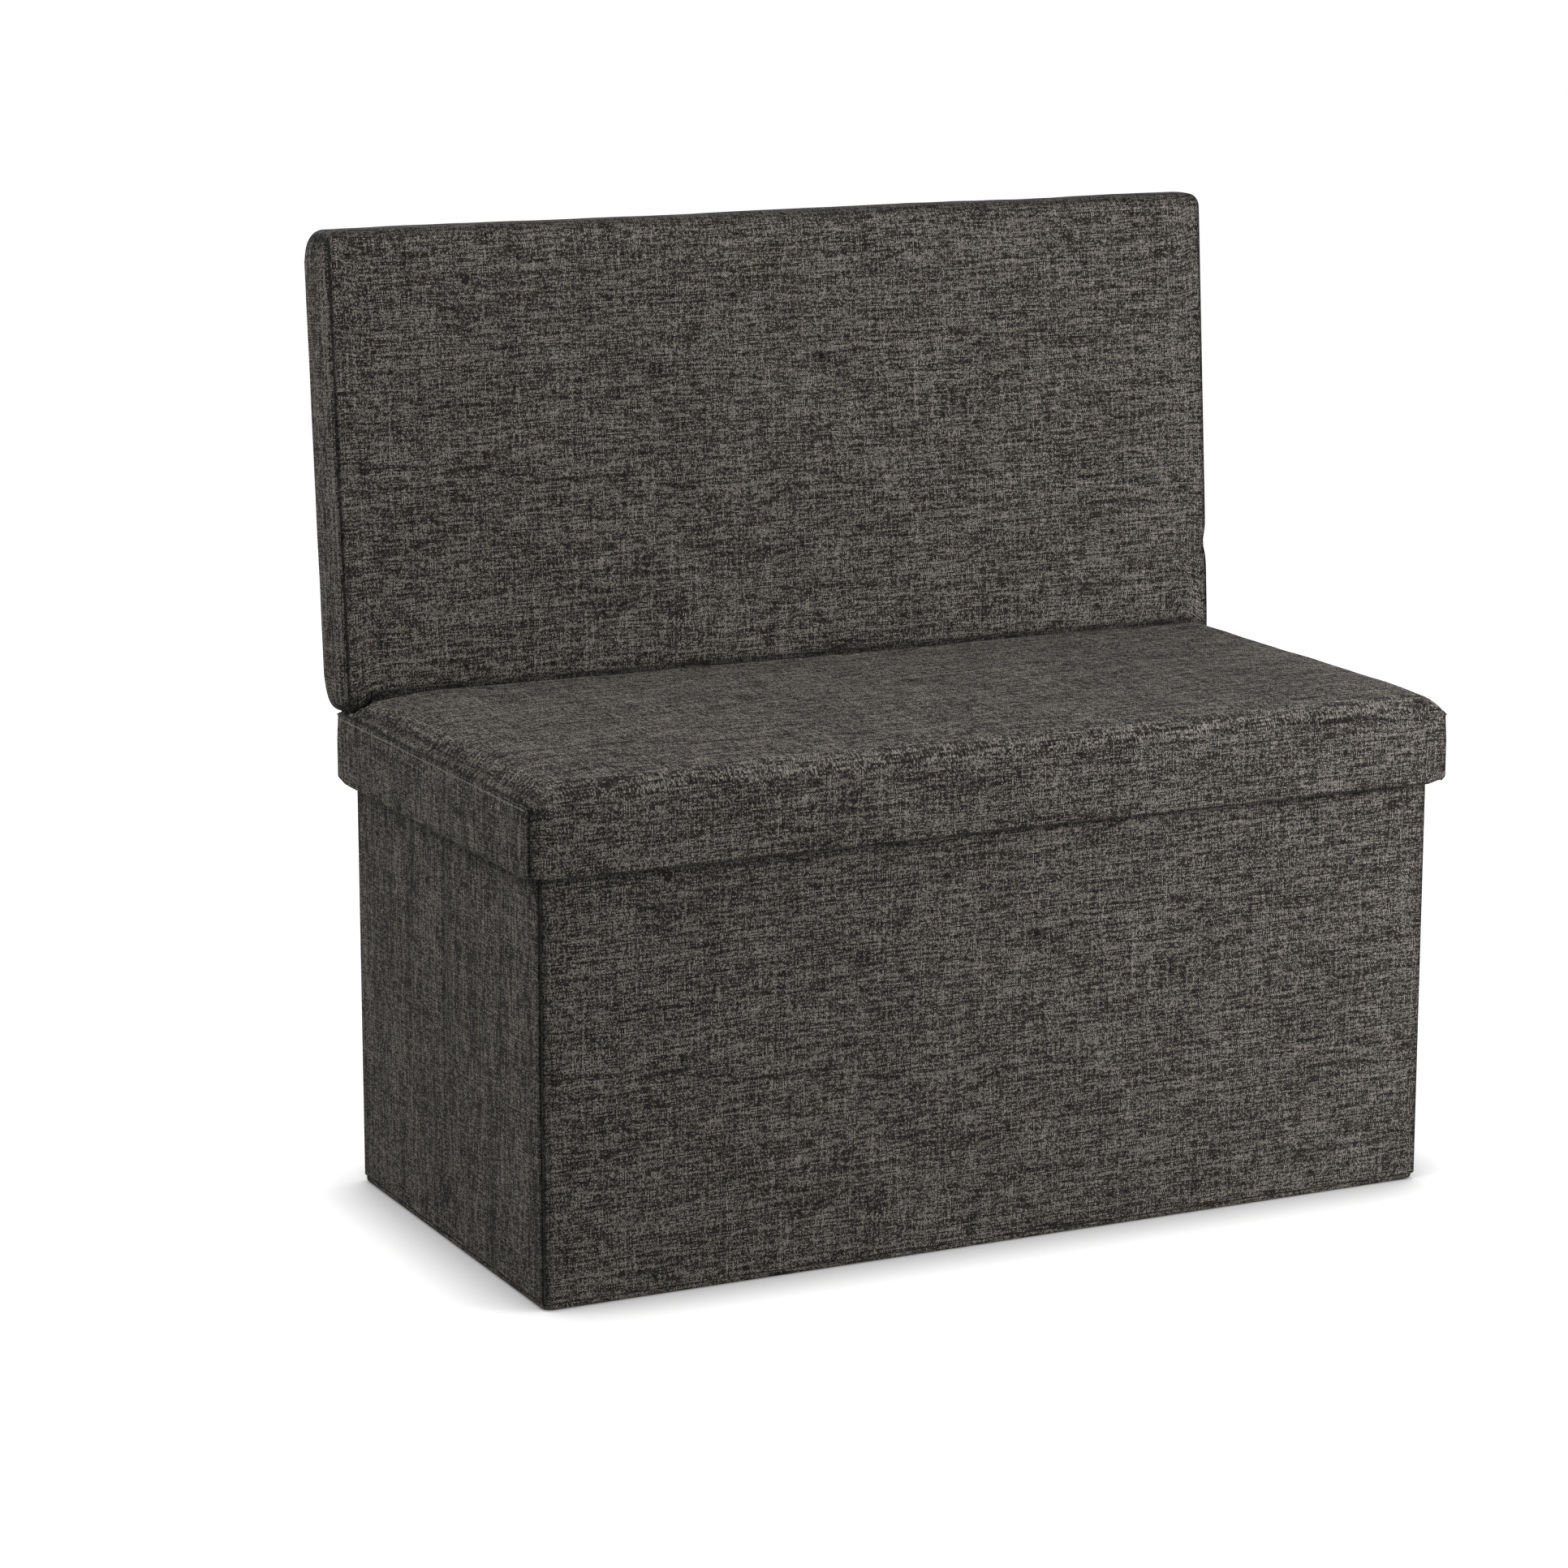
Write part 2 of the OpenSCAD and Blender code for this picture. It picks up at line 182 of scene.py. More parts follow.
def makeGrain():
    # Soft mottling for board, foam and non-woven lining
    tree, given, out = newGroup(
        "softGrain",
        [
            ("Vector", "NodeSocketVector", None),
            ("Size", "NodeSocketFloat", 0.002),
            ("Pores", "NodeSocketFloat", 0.5),
        ],
        [("Shade", "NodeSocketFloat"), ("Height", "NodeSocketFloat")],
    )
    scale = maths(tree, "DIVIDE", 1.0, given["Size"])
    place = given["Vector"]
    coarse = newNode(tree, "ShaderNodeTexNoise", Vector=place, Scale=scale, Detail=5.0, Roughness=0.7)
    coarse = coarse.outputs["Fac"]
    cells = newNode(tree, "ShaderNodeTexVoronoi", Vector=place, Scale=scale).outputs["Distance"]
    pit = maths(tree, "MULTIPLY", cells, given["Pores"])
    tree.links.new(maths(tree, "SUBTRACT", coarse, maths(tree, "MULTIPLY", pit, 0.4)), out["Shade"])
    tree.links.new(maths(tree, "ADD", coarse, pit), out["Height"])
    return tree


def newMaterial(name):
    material = bpy.data.materials.new(name)
    material.use_nodes = True
    tree = material.node_tree
    return material, tree, tree.nodes["Principled BSDF"]


def ramp(tree, value, stops):
    node = newNode(tree, "ShaderNodeValToRGB", Fac=value)
    elements = node.color_ramp.elements
    while len(elements) < len(stops):
        elements.new(0.5)
    for element, (place, colour) in zip(elements, stops):
        element.position = place
        element.color = (*colour, 1)
    return node.outputs["Color"]


def srgb(*values):
    shares = [value / 255 for value in values]
    return tuple(s / 12.92 if s <= 0.04045 else ((s + 0.055) / 1.055) ** 2.4 for s in shares)


linenLook = {
    "pitch": 0.95 * mm,
    "threads": 1.95,
    "fleck": 0.85,
    "mottle": 0.04,
    "slubs": 0.42,
    "patches": 0.07,
    # seam and deep: how strongly, and towards which colour, the painted shade and the darker runs of thread
    # darken the linen
    "seam": 0.85,
    "deep": srgb(14, 13, 12),
    "dark": srgb(20, 18, 17),
    "middle": srgb(62, 58, 54),
    "light": srgb(156, 150, 142),
    "relief": 0.45 * mm,
    "bump": 0.8,
    "specular": 0.12,
    "sheen": 0.02,
}


def makeLinen(weave):
    material, tree, skin = newMaterial("linen")
    place = newNode(tree, "ShaderNodeUVMap", {"uv_map": "clothMap"}).outputs["UV"]
    look, names = linenLook, ("pitch", "threads", "fleck", "mottle", "slubs", "patches")
    values = {name.title(): look[name] for name in names}
    cloth = newNode(tree, "ShaderNodeGroup", {"node_tree": weave}, Vector=place, **values).outputs
    colour = ramp(tree, cloth["Shade"], [(0.0, look["dark"]), (0.5, look["middle"]), (1.0, look["light"])])
    height = {"Height": cloth["Height"], "Distance": look["relief"]}
    bump = newNode(tree, "ShaderNodeBump", Strength=look["bump"], **height)
    # Painted shade, with darker runs of thread on some pieces, takes the linen towards the deep colour
    shadeAndStreaks = newNode(tree, "ShaderNodeAttribute", {"attribute_name": "paintedShadeAndStreaks"}).outputs["Fac"]
    colour = newNode(
        tree, "ShaderNodeMix", {"data_type": "RGBA"},
        i0=maths(tree, "MULTIPLY", shadeAndStreaks, look["seam"]), i6=colour, i7=(*look["deep"], 1),
    ).outputs[2]
    tree.links.new(colour, skin.inputs["Base Color"])
    tree.links.new(cloth["Roughness"], skin.inputs["Roughness"])
    tree.links.new(bump.outputs[0], skin.inputs["Normal"])
    skin.inputs["Specular IOR Level"].default_value = look["specular"]
    skin.inputs["Sheen Weight"].default_value = look["sheen"]
    skin.inputs["Sheen Roughness"].default_value = 0.5
    return material


def makePlainMaterial(name, grain, look):
    material, tree, skin = newMaterial(name)
    place = newNode(tree, "ShaderNodeTexCoord").outputs["Object"]
    body = newNode(
        tree, "ShaderNodeGroup", {"node_tree": grain}, Vector=place, Size=look["size"], Pores=look["pores"]
    ).outputs
    colour = ramp(tree, body["Shade"], [(0.2, look["dark"]), (0.7, look["light"])])
    bump = newNode(tree, "ShaderNodeBump", Height=body["Height"], Strength=0.5, Distance=look["relief"])
    tree.links.new(colour, skin.inputs["Base Color"])
    tree.links.new(bump.outputs[0], skin.inputs["Normal"])
    skin.inputs["Roughness"].default_value = look["roughness"]
    skin.inputs["Specular IOR Level"].default_value = 0.3
    return material


liningLook = {
    "size": 1.6 * mm, "pores": 0.7, "relief": 0.2 * mm, "roughness": 0.85,
    "dark": srgb(20, 20, 22), "light": srgb(52, 52, 56),
}
boardLook = {
    "size": 3 * mm, "pores": 0.2, "relief": 0.1 * mm, "roughness": 0.7,
    "dark": srgb(122, 94, 62), "light": srgb(182, 150, 108),
}
foamLook = {
    "size": 1.2 * mm, "pores": 1.0, "relief": 0.5 * mm, "roughness": 0.95,
    "dark": srgb(200, 190, 160), "light": srgb(240, 233, 210),
}
threadLook = {
    "size": 0.4 * mm, "pores": 0.3, "relief": 0.05 * mm, "roughness": 0.6,
    "dark": srgb(110, 106, 100), "light": srgb(160, 154, 146),
}


# Mesh helpers: each cloth mesh has a map in metres, with U along the slubs
clothGrain = 0.6


def meshPiece(name, points, faces, mapped, material):
    mesh = bpy.data.meshes.new(name)
    mesh.from_pydata(np.asarray(points, float).tolist(), [], faces)
    layer = mesh.uv_layers.new(name="clothMap")
    corners = np.array([corner for face in faces for corner in face])
    layer.data.foreach_set("uv", np.asarray(mapped, np.float32)[corners].ravel())
    mesh.materials.append(material)
    mesh.shade_smooth()
    piece = bpy.data.objects.new(name, mesh)
    bpy.context.scene.collection.objects.link(piece)
    return piece


def runAlong(path):
    # How far each point of a path lies from its start
    return np.concatenate([[0], np.cumsum(np.linalg.norm(np.diff(path, axis=0), axis=1))])


def mapOf(along, across):
    return np.stack(np.broadcast_arrays(along, across), -1)


def bell(distance, width):
    # One at nought, next to nothing two widths away
    return np.exp(-((distance / width) ** 2))


def boxOf(node):
    return [np.array(corner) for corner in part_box(node)]


def fit(piece, body, slot, *nodes, fill=None):
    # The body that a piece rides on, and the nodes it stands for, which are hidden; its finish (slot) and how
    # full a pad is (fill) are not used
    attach(piece, body)
    if nodes:
        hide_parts(*nodes)


def gridFaces(rows, columns, start=0):
    faces = []
    for i in range(rows - 1):
        for j in range(columns - 1):
            a = start + i * columns + j
            faces.append((a, a + 1, a + columns + 1, a + columns))
    return faces


def gridPiece(name, points, mapped, material):
    rows, columns = points.shape[:2]
    faces = gridFaces(rows, columns)
    return meshPiece(name, points.reshape(-1, 3), faces, mapped.reshape(-1, 2), material)


def weld(piece, gap=0.002 * mm):
    shape = bmesh.new()
    shape.from_mesh(piece.data)
    bmesh.ops.remove_doubles(shape, verts=shape.verts, dist=gap)
    bmesh.ops.dissolve_degenerate(shape, edges=shape.edges, dist=gap)
    bmesh.ops.recalc_face_normals(shape, faces=shape.faces)
    shape.to_mesh(piece.data)
    shape.free()


def faceAwayFrom(piece, middle):
    mesh = piece.data
    mesh.update()
    lean = sum(f.area * f.normal.dot(f.center - Vector(middle)) for f in mesh.polygons)
    if lean < 0:
        mesh.flip_normals()


def thicken(piece, thick):
    shell = piece.modifiers.new("shell", "SOLIDIFY")
    shell.thickness = thick
    shell.offset = -1
    applyModifiers(piece)


def applyModifiers(piece):
    graph = bpy.context.evaluated_depsgraph_get()
    made = bpy.data.meshes.new_from_object(piece.evaluated_get(graph), depsgraph=graph)
    old = piece.data
    piece.modifiers.clear()
    piece.data = made
    bpy.data.meshes.remove(old)


def pointsOf(piece):
    mesh = piece.data
    mesh.update()
    place = np.empty(len(mesh.vertices) * 3)
    normal = np.empty(len(mesh.vertices) * 3)
    mesh.vertices.foreach_get("co", place)
    mesh.vertex_normals.foreach_get("vector", normal)
    return place.reshape(-1, 3), normal.reshape(-1, 3)


def movePoints(piece, place):
    piece.data.vertices.foreach_set("co", np.asarray(place, float).ravel())
    piece.data.update()


def shadeSeam(piece, amount):
    # How much painted shade darkens the cloth, nought to one: it is darkest in the seams, creases and where
    # parts meet, and on some pieces darker runs of thread are added in
    layer = piece.data.attributes.new("paintedShadeAndStreaks", "FLOAT", "POINT")
    layer.data.foreach_set("value", np.clip(amount, 0, 1).astype(np.float32))


def roll(place, wave, seed):
    # Smooth unevenness from -1 to 1 with humps about one wave apart
    return np.array([noise.noise(Vector(p) / wave + Vector((seed, -seed, 2 * seed))) for p in place])


def unevenness(place, waves):
    # Each wave has a length, a seed and a share
    return sum(share * roll(place, wave, seed) for wave, seed, share in waves)


def streaks(place, wide, amount, seed):
    # Darker runs of thread down an upright cloth
    return amount * np.clip(roll(place * (1, 1, 0.05), wide, seed) + 0.1, 0, 1)


def smooth(t):
    t = np.clip(t, 0, 1)
    return t * t * (3 - 2 * t)


simulation = {"steps": 20, "quality": 5, "levels": 10}


def relaxCloth(piece, free, look):
    # Cloth simulation: the free part fills and eases under a little pressure, the rest is held
    scene, levels = bpy.context.scene, simulation["levels"]
    rest, _ = pointsOf(piece)
    held = piece.vertex_groups.new(name="held")
    for level in range(1, levels + 1):
        chosen = np.nonzero(np.round((1 - free) * levels) == level)[0]
        held.add(chosen.tolist(), level / levels, "REPLACE")
    cloth = piece.modifiers.new("cloth", "CLOTH")
    cloth.settings.quality = simulation["quality"]
    cloth.settings.vertex_group_mass = held.name
    cloth.settings.use_pressure = True
    cloth.settings.uniform_pressure_force = look["pressure"]
    cloth.settings.shrink_min = -look["slack"]
    cloth.settings.effector_weights.gravity = 0
    cloth.collision_settings.use_collision = False
    cloth.point_cache.frame_start = 1
    cloth.point_cache.frame_end = simulation["steps"]
    for step in range(simulation["steps"]):
        scene.frame_set(step + 1)
    made = piece.evaluated_get(bpy.context.evaluated_depsgraph_get()).to_mesh()
    place = np.empty(len(made.vertices) * 3)
    made.vertices.foreach_get("co", place)
    move = place.reshape(-1, 3) - rest
    far = np.linalg.norm(move, axis=1)
    print("cloth", piece.name, "moved up to", round(float(far.max()) / mm, 2), "mm")
    piece.modifiers.remove(cloth)
    piece.vertex_groups.remove(held)
    scene.frame_set(1)
    limit = np.minimum(1, look["cap"] / np.maximum(far, 1e-9))
    movePoints(piece, rest + move * (limit * free)[:, None])


def axisLines(half, radius, step):
    # From edge to edge: steps of turn in the rounding, then steps of length
    turn = np.tan(np.radians([45, 35, 25, 15, 7]))
    start = -half + radius - radius * turn
    count = max(int(round(2 * (half - radius) / step)), 1)
    inner = np.linspace(-(half - radius), half - radius, count + 1)
    return np.concatenate([start, inner, -start[::-1]])


def roundedBlock(name, low, high, material, radius, step, upright=False):
    low, high = np.array(low, float), np.array(high, float)
    middle, half = (low + high) / 2, (high - low) / 2
    lines = [axisLines(h, radius, step) for h in half]
    points, mapped, faces = [], [], []
    for axis in range(3):
        a, b = (axis + 1) % 3, (axis + 2) % 3
        for side in (-1, 1):
            p = np.zeros((len(lines[a]), len(lines[b]), 3))
            p[..., a] = lines[a][:, None]
            p[..., b] = lines[b][None, :]
            p[..., axis] = side * half[axis]
            core = np.clip(p, -(half - radius), half - radius)
            way = p - core
            p = core + radius * way / np.linalg.norm(way, axis=2, keepdims=True)
            place = (p + middle).reshape(-1, 3)
            u, v = ((2, 1), (2, 0) if upright else (0, 2), (0, 1))[axis]
            grain = clothGrain if u == 2 else 1
            faces += gridFaces(len(lines[a]), len(lines[b]), len(points))
            points += place.tolist()
            mapped += np.column_stack([place[:, u], place[:, v] * grain]).tolist()
    piece = meshPiece(name, points, faces, mapped, material)
    weld(piece)
    faceAwayFrom(piece, middle)
    return piece


def puff(piece, way, high, reach, wave, uneven, seed):
    # Wadding: the face that looks along way swells towards its middle and rolls a little
    place, normal = pointsOf(piece)
    way = np.array(way, float)
    low, top = place.min(0), place.max(0)
    flat = [k for k in range(3) if way[k] == 0]
    near = np.min([np.minimum(place[:, k] - low[k], top[k] - place[:, k]) for k in flat], axis=0)
    rise = 1 - (1 - np.clip(near / reach, 0, 1)) ** 2
    facing = np.clip(normal @ way, 0, 1) > 0.7
    amount = facing * rise * (high + uneven * roll(place, wave, seed))
    movePoints(piece, place + amount[:, None] * way)


stitch = {
    "length": 3 * mm,
    "gap": 1.6 * mm,
    "radius": 0.5 * mm,
    "sunk": 0.35 * mm,
    "sides": 6,
    "rings": ((0, -1), (0.3, 0.6), (0.7, 0.6), (1, -1)),
}


def stitchRow(name, body, cloth, path, material):
    # A row of short thread stitches laid on a cloth along a path of points
    tree = BVHTree.FromPolygons(pointsOf(cloth)[0].tolist(), [tuple(f.vertices) for f in cloth.data.polygons])
    path = np.asarray(path, float)
    run = runAlong(path)
    pitch = stitch["length"] + stitch["gap"]
    sides, last = stitch["sides"], len(stitch["rings"]) - 1
    points, faces, mapped = [], [], []

    def spotAt(at):
        return Vector([np.interp(at, run, path[:, k]) for k in range(3)])

    for start in np.arange(stitch["gap"], run[-1] - stitch["length"], pitch):
        first = len(points)
        for share, lift in stitch["rings"]:
            at = start + share * stitch["length"]
            found, normal = tree.find_nearest(spotAt(at))[:2]
            across = normal.cross((spotAt(at + mm) - spotAt(at - mm)).normalized()).normalized()
            middle = found + normal * (lift * stitch["sunk"])
            for turn in np.linspace(0, 2 * math.pi, sides, endpoint=False):
                way = across * math.cos(turn) + normal * math.sin(turn)
                points.append(middle + way * stitch["radius"])
                mapped.append((at, turn * stitch["radius"]))
        for ring in range(last):
            for k in range(sides):
                a, b = first + ring * sides + k, first + ring * sides + (k + 1) % sides
                faces.append((a, b, b + sides, a + sides))
        faces.append(tuple(range(first, first + sides))[::-1])
        faces.append(tuple(range(first + last * sides, first + (last + 1) * sides)))
    piece = meshPiece(name, points, faces, mapped, material)
    weld(piece, 0.0001 * mm)
    fit(piece, body, "linen")


# Lid: one cloth covers the front skirt, the seat and the back skirt; each end has a sewn-in panel
lid = {
    "cornerRadius": 3.5 * mm,
    "cornerDrop": 2.6 * mm,
    "cornerReach": 9 * mm,
    "cornerFade": 24 * mm,
    "cornerIn": 0.6,
    "skirtThick": 6 * mm,
    "shoulderHigh": 14 * mm,
    "frontShoulder": 18 * mm,
    "endShoulder": 18 * mm,
    "endPower": 1.6,
    "endRound": 6 * mm,
    "endLow": 0.3,
    "weltWide": 7 * mm,
    "weltHigh": 0.16,
    "weltRise": 4 * mm,
    "domeHigh": 3.2 * mm,
    "deckFront": 1.5 * mm,
    "deckDrop": 12.36 * mm,
    "deckRamp": 1.2 * mm,
    "deckUnder": 0.6 * mm,
    "hemRadius": 3 * mm,
    "hemSag": 1.7 * mm,
    "hemLift": 2.6 * mm,
    "hemLiftHigh": 22 * mm,
    "hemLiftWide": 16 * mm,
    "hemWave": 0.5 * mm,
    "hemWaveLong": 120 * mm,
    "hemCalm": 24 * mm,
    "endCalm": 14 * mm,
    "rowEnds": 30 * mm,
    "turnUp": 43 * mm,
    "slump": 0.34,
    "slumpRight": 0.7,
    "slumpReach": 75 * mm,
    "seamPull": 1.6 * mm,
    "seamReach": 15 * mm,
    "grooveIn": 1.6 * mm,
    "grooveDown": 1 * mm,
    "grooveEase": (8 * mm, 5 * mm, 9 * mm),
    "tucks": (0, 0.7 * mm, 1.6 * mm),
    "laps": (0, 0.5 * mm, 0.8 * mm),
    "panelEdge": 1.8 * mm,
    "panelFull": 0.5 * mm,
    "panelWave": 45 * mm,
    "boardBack": 1.2 * mm,
    "boardShort": 5 * mm,
    "boardDown": 1.8 * mm,
    "foamUnder": 3 * mm,
    "seatFree": 14 * mm,
    "seatEase": 26 * mm,
    "stitchDrop": 4.2 * mm,
    "stitchShort": 8 * mm,
    "streaks": 0.8,
    "streakWide": 9 * mm,
    "creaseDeep": 1.3 * mm,
    "creaseWide": 1.8 * mm,
    "creaseFade": (12 * mm, 25 * mm),
    "creases": [(228 * mm, 312 * mm, 2 * mm), (340 * mm, 372 * mm, 2 * mm), (-378 * mm, -285 * mm, 10 * mm)],
    "cloth": 1.2 * mm,
    "step": 5 * mm,
    "uneven": 0.7 * mm,
    "waves": ((60 * mm, 3.1, 1), (22 * mm, 7.7, 0.4)),
    "pressure": 3.0,
    "slack": 0.004,
    "cap": 0.8 * mm,
}
# Painted shade on the lid's cloth, how dark and how wide: in the end seams and beside them, in the valley
# behind the welt, in the creases, at the step by the foot of the backrest, along the hem and round the end
# panels
lidShade = {
    "seam": 0.85,
    "seamWide": 2.4 * mm,
    "topSeamWide": 1.2 * mm,
    "edge": 0.25,
    "edgeWide": 14 * mm,
    "valley": 0.62,
    "valleyIn": 2 * mm,
    "valleyWide": 3 * mm,
    "crease": 0.6,
    "foot": 0.85,
    "footWide": 1.6 * mm,
    "hem": 0.8,
    "hemHigh": 2 * mm,
    "panelSeam": 0.9,
    "panelSeamWide": 1.4 * mm,
}
backrest = {
    "lean": math.radians(4.3),
    "hingeY": 162 * mm,
    "hingeZ": 389.5 * mm,
    "halfWidth": 378 * mm,
    "top": 346 * mm,
    "bottom": -11 * mm,
    "topCorner": 9 * mm,
    "bottomCorner": 8 * mm,
    "frontSeam": 2.5 * mm,
    "stitchDepths": (6.5 * mm, 14 * mm),
    "rearSeam": 53 * mm,
    "frontCrown": 3.6 * mm,
    "rearCrown": 2.5 * mm,
    "crownReach": 60 * mm,
    "frontEdge": 9 * mm,
    "seamEdge": 2.5 * mm,
    "rearEdge": 18 * mm,
    "swell": 1.6 * mm,
    "gussetEnd": math.radians(78),
    "cloth": 1.2 * mm,
    "uneven": 0.8 * mm,
    "waves": ((70 * mm, 1.7, 1), (25 * mm, 4.4, 0.35), (160 * mm, 8.1, 0.6)),
    "tucks": (0, 0.7 * mm, 2.4 * mm),
    "laps": (0, 0.5 * mm, 0.9 * mm),
    "seamSide": 24 * mm,
    "bandEase": 14 * mm,
    "freeFrom": 6 * mm,
    "freeEase": 16 * mm,
    "calm": 25 * mm,
    "inside": (0, 170 * mm, 27 * mm),
    "boardIn": 10 * mm,
    "boardShort": 11 * mm,
    "boardClear": 0.8 * mm,
    "foamIn": 7 * mm,
    "foamFront": 3.5 * mm,
    "foamRear": 47 * mm,
    "footDroop": 7 * mm,
    "droopHigh": 34 * mm,
    "droopLeft": 50 * mm,
    "droopRight": 22 * mm,
    "dentRise": 61 * mm,
    "dentDeep": 2.5 * mm,
    "dentReach": 9 * mm,
    "dentSide": (16 * mm, 12 * mm),
    "stitchShort": 12 * mm,
    "pressure": 3.0,
    "slack": 0.005,
    "cap": 1.2 * mm,
}
# Painted shade on the backrest's cloth: in the end seams and fading inward from them, along the top edge, at
# the foot where it meets the seat, and round the gussets
backShade = {
    "seam": 0.85,
    "seamWide": 1.5 * mm,
    "edge": 0.2,
    "edgeWide": 9 * mm,
    "top": 0.55,
    "topIn": 7 * mm,
    "topWide": 5 * mm,
    "foot": 0.7,
    "footHigh": 3 * mm,
    "panelSeamWide": 1.3 * mm,
}
skirtLow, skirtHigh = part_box("skirt_cover")
lidHalfW, lidHalfD = skirtHigh.x, skirtHigh.y
hemZ, seamZ = skirtLow.z - lid["hemSag"], skirtHigh.z


def backPoint(x, rise, depth):
    # From the backrest's own frame (across, up its face, back from its face) to the bench's
    sine, cosine = math.sin(backrest["lean"]), math.cos(backrest["lean"])
    y = backrest["hingeY"] + depth * cosine + rise * sine
    z = backrest["hingeZ"] + rise * cosine - depth * sine
    return np.stack(np.broadcast_arrays(x, y, z), -1)


def seatHeight(x, y):
    # Height of the seat over the seam, cut away to the deck under the foot of the backrest
    dx = np.maximum(lidHalfW - np.abs(x), 0)
    dy = np.maximum(lidHalfD - np.abs(y), 0)
    front = np.sqrt(1 - (1 - np.minimum(dy / lid["frontShoulder"], 1)) ** 2)
    welt = np.where(x < 0, lid["weltWide"], 0)
    beyond = np.clip((dx - welt) / (lid["endShoulder"] - welt / 2), 0, 1)
    end = lid["weltHigh"] * smooth(dx / lid["weltRise"]) * (x < 0)
    end = end + (1 - end) * (1 - (1 - beyond) ** lid["endPower"])
    low = lid["endLow"]
    end = end * np.where(x < 0, 1, smooth(dx / lid["endRound"]) * (1 - low) + low)
    inset = np.minimum(dx, dy)
    dome = lid["domeHigh"] * (1 - (1 - np.minimum(inset / lidHalfD, 1)) ** 2)
    past, ramp = y - backrest["hingeY"], lid["deckRamp"]
    deck = backrest["hingeZ"] - lid["deckDrop"] - past * math.tan(backrest["lean"]) - seamZ
    behind = smooth((past + lid["deckFront"] + ramp) / ramp)
    foot = np.where(x < 0, np.maximum(-past, 0), lidHalfD)
    near = 1 - smooth(np.hypot(dx, np.where(y < 0, dy, foot)) / lid["slumpReach"])
    slump = lid["slump"] * np.where(x < 0, 1, lid["slumpRight"])
    high = (lid["shoulderHigh"] * front * end + dome) * (1 - slump * near)
    return high + behind * (np.minimum(high, deck - lid["deckUnder"]) - high)


def skirtRows():
    # Distance out from the skirt's inner face, and height: up inside, round the hem, up outside
    r = lid["hemRadius"]
    rows = [(0, z) for z in np.linspace(hemZ + lid["turnUp"], hemZ + r, 7)[:-1]]
    for turn in np.radians(np.linspace(180, 360, 9)):
        rows.append((lid["skirtThick"] / 2 + r * math.cos(turn), hemZ + r + r * math.sin(turn)))
    rows += [(lid["skirtThick"], z) for z in np.linspace(hemZ + r, seamZ, 13)[1:]]
    return np.array(rows)


def hemLift(heights, fromCorner):
    # The hem rises a little at each corner and fades out up the skirt
    low = 1 - smooth((heights - hemZ) / lid["hemLiftHigh"])
    return lid["hemLift"] * low * (1 - smooth(fromCorner / lid["hemLiftWide"]))


def hemWave(place, share):
    return lid["hemWave"] * share * roll(place * (1, 1, 0), lid["hemWaveLong"], 2.2)


def easeCorners(place):
    # The four top corners of the lid sink a little, as a sewn corner does
    gap = np.hypot(lidHalfW - np.abs(place[:, 0]), lidHalfD - np.abs(place[:, 1]))
    drop = lid["cornerDrop"] * (1 - smooth(gap / lid["cornerReach"]))
    drop = drop * smooth((place[:, 2] - seamZ + lid["cornerFade"]) / lid["cornerFade"])
    way = np.sign(place) * (lid["cornerIn"], lid["cornerIn"], 1)
    return place - drop[:, None] * way


def seatLines():
    # Places across the depth: close together over the shoulders and at the step to the deck
    wide = lid["frontShoulder"]
    insets = wide * (1 - np.cos(np.radians(np.linspace(0, 90, 10))))[1:-1]
    count = int(round(2 * (lidHalfD - wide) / lid["step"]))
    middle = np.linspace(-lidHalfD + wide, lidHalfD - wide, count + 1)
    foot = backrest["hingeY"] - lid["deckFront"] + np.linspace(-lid["deckRamp"], 0, 5)
    lines = np.concatenate([-lidHalfD + insets, middle, lidHalfD - insets, foot])
    return np.unique(np.round(lines, 6))


def lidColumns():
    # Each column is a place across and, at the corners, how far the skirt has turned
    corner, wide = lid["cornerRadius"], lid["endShoulder"]
    turned = [(-lidHalfW + corner - corner * math.sin(t), t) for t in np.radians(np.linspace(90, 0, 10))]
    near = [(-lidHalfW + d, 0) for d in np.arange(corner + 1.5 * mm, wide, 1.5 * mm)]
    inside = np.linspace(-lidHalfW + wide, lidHalfW - wide, 146)
    left = turned + near
    columns = left + [(x, 0) for x in inside] + [(-x, t) for x, t in reversed(left)]
    return [columns[0]] * 2 + columns + [columns[-1]] * 2


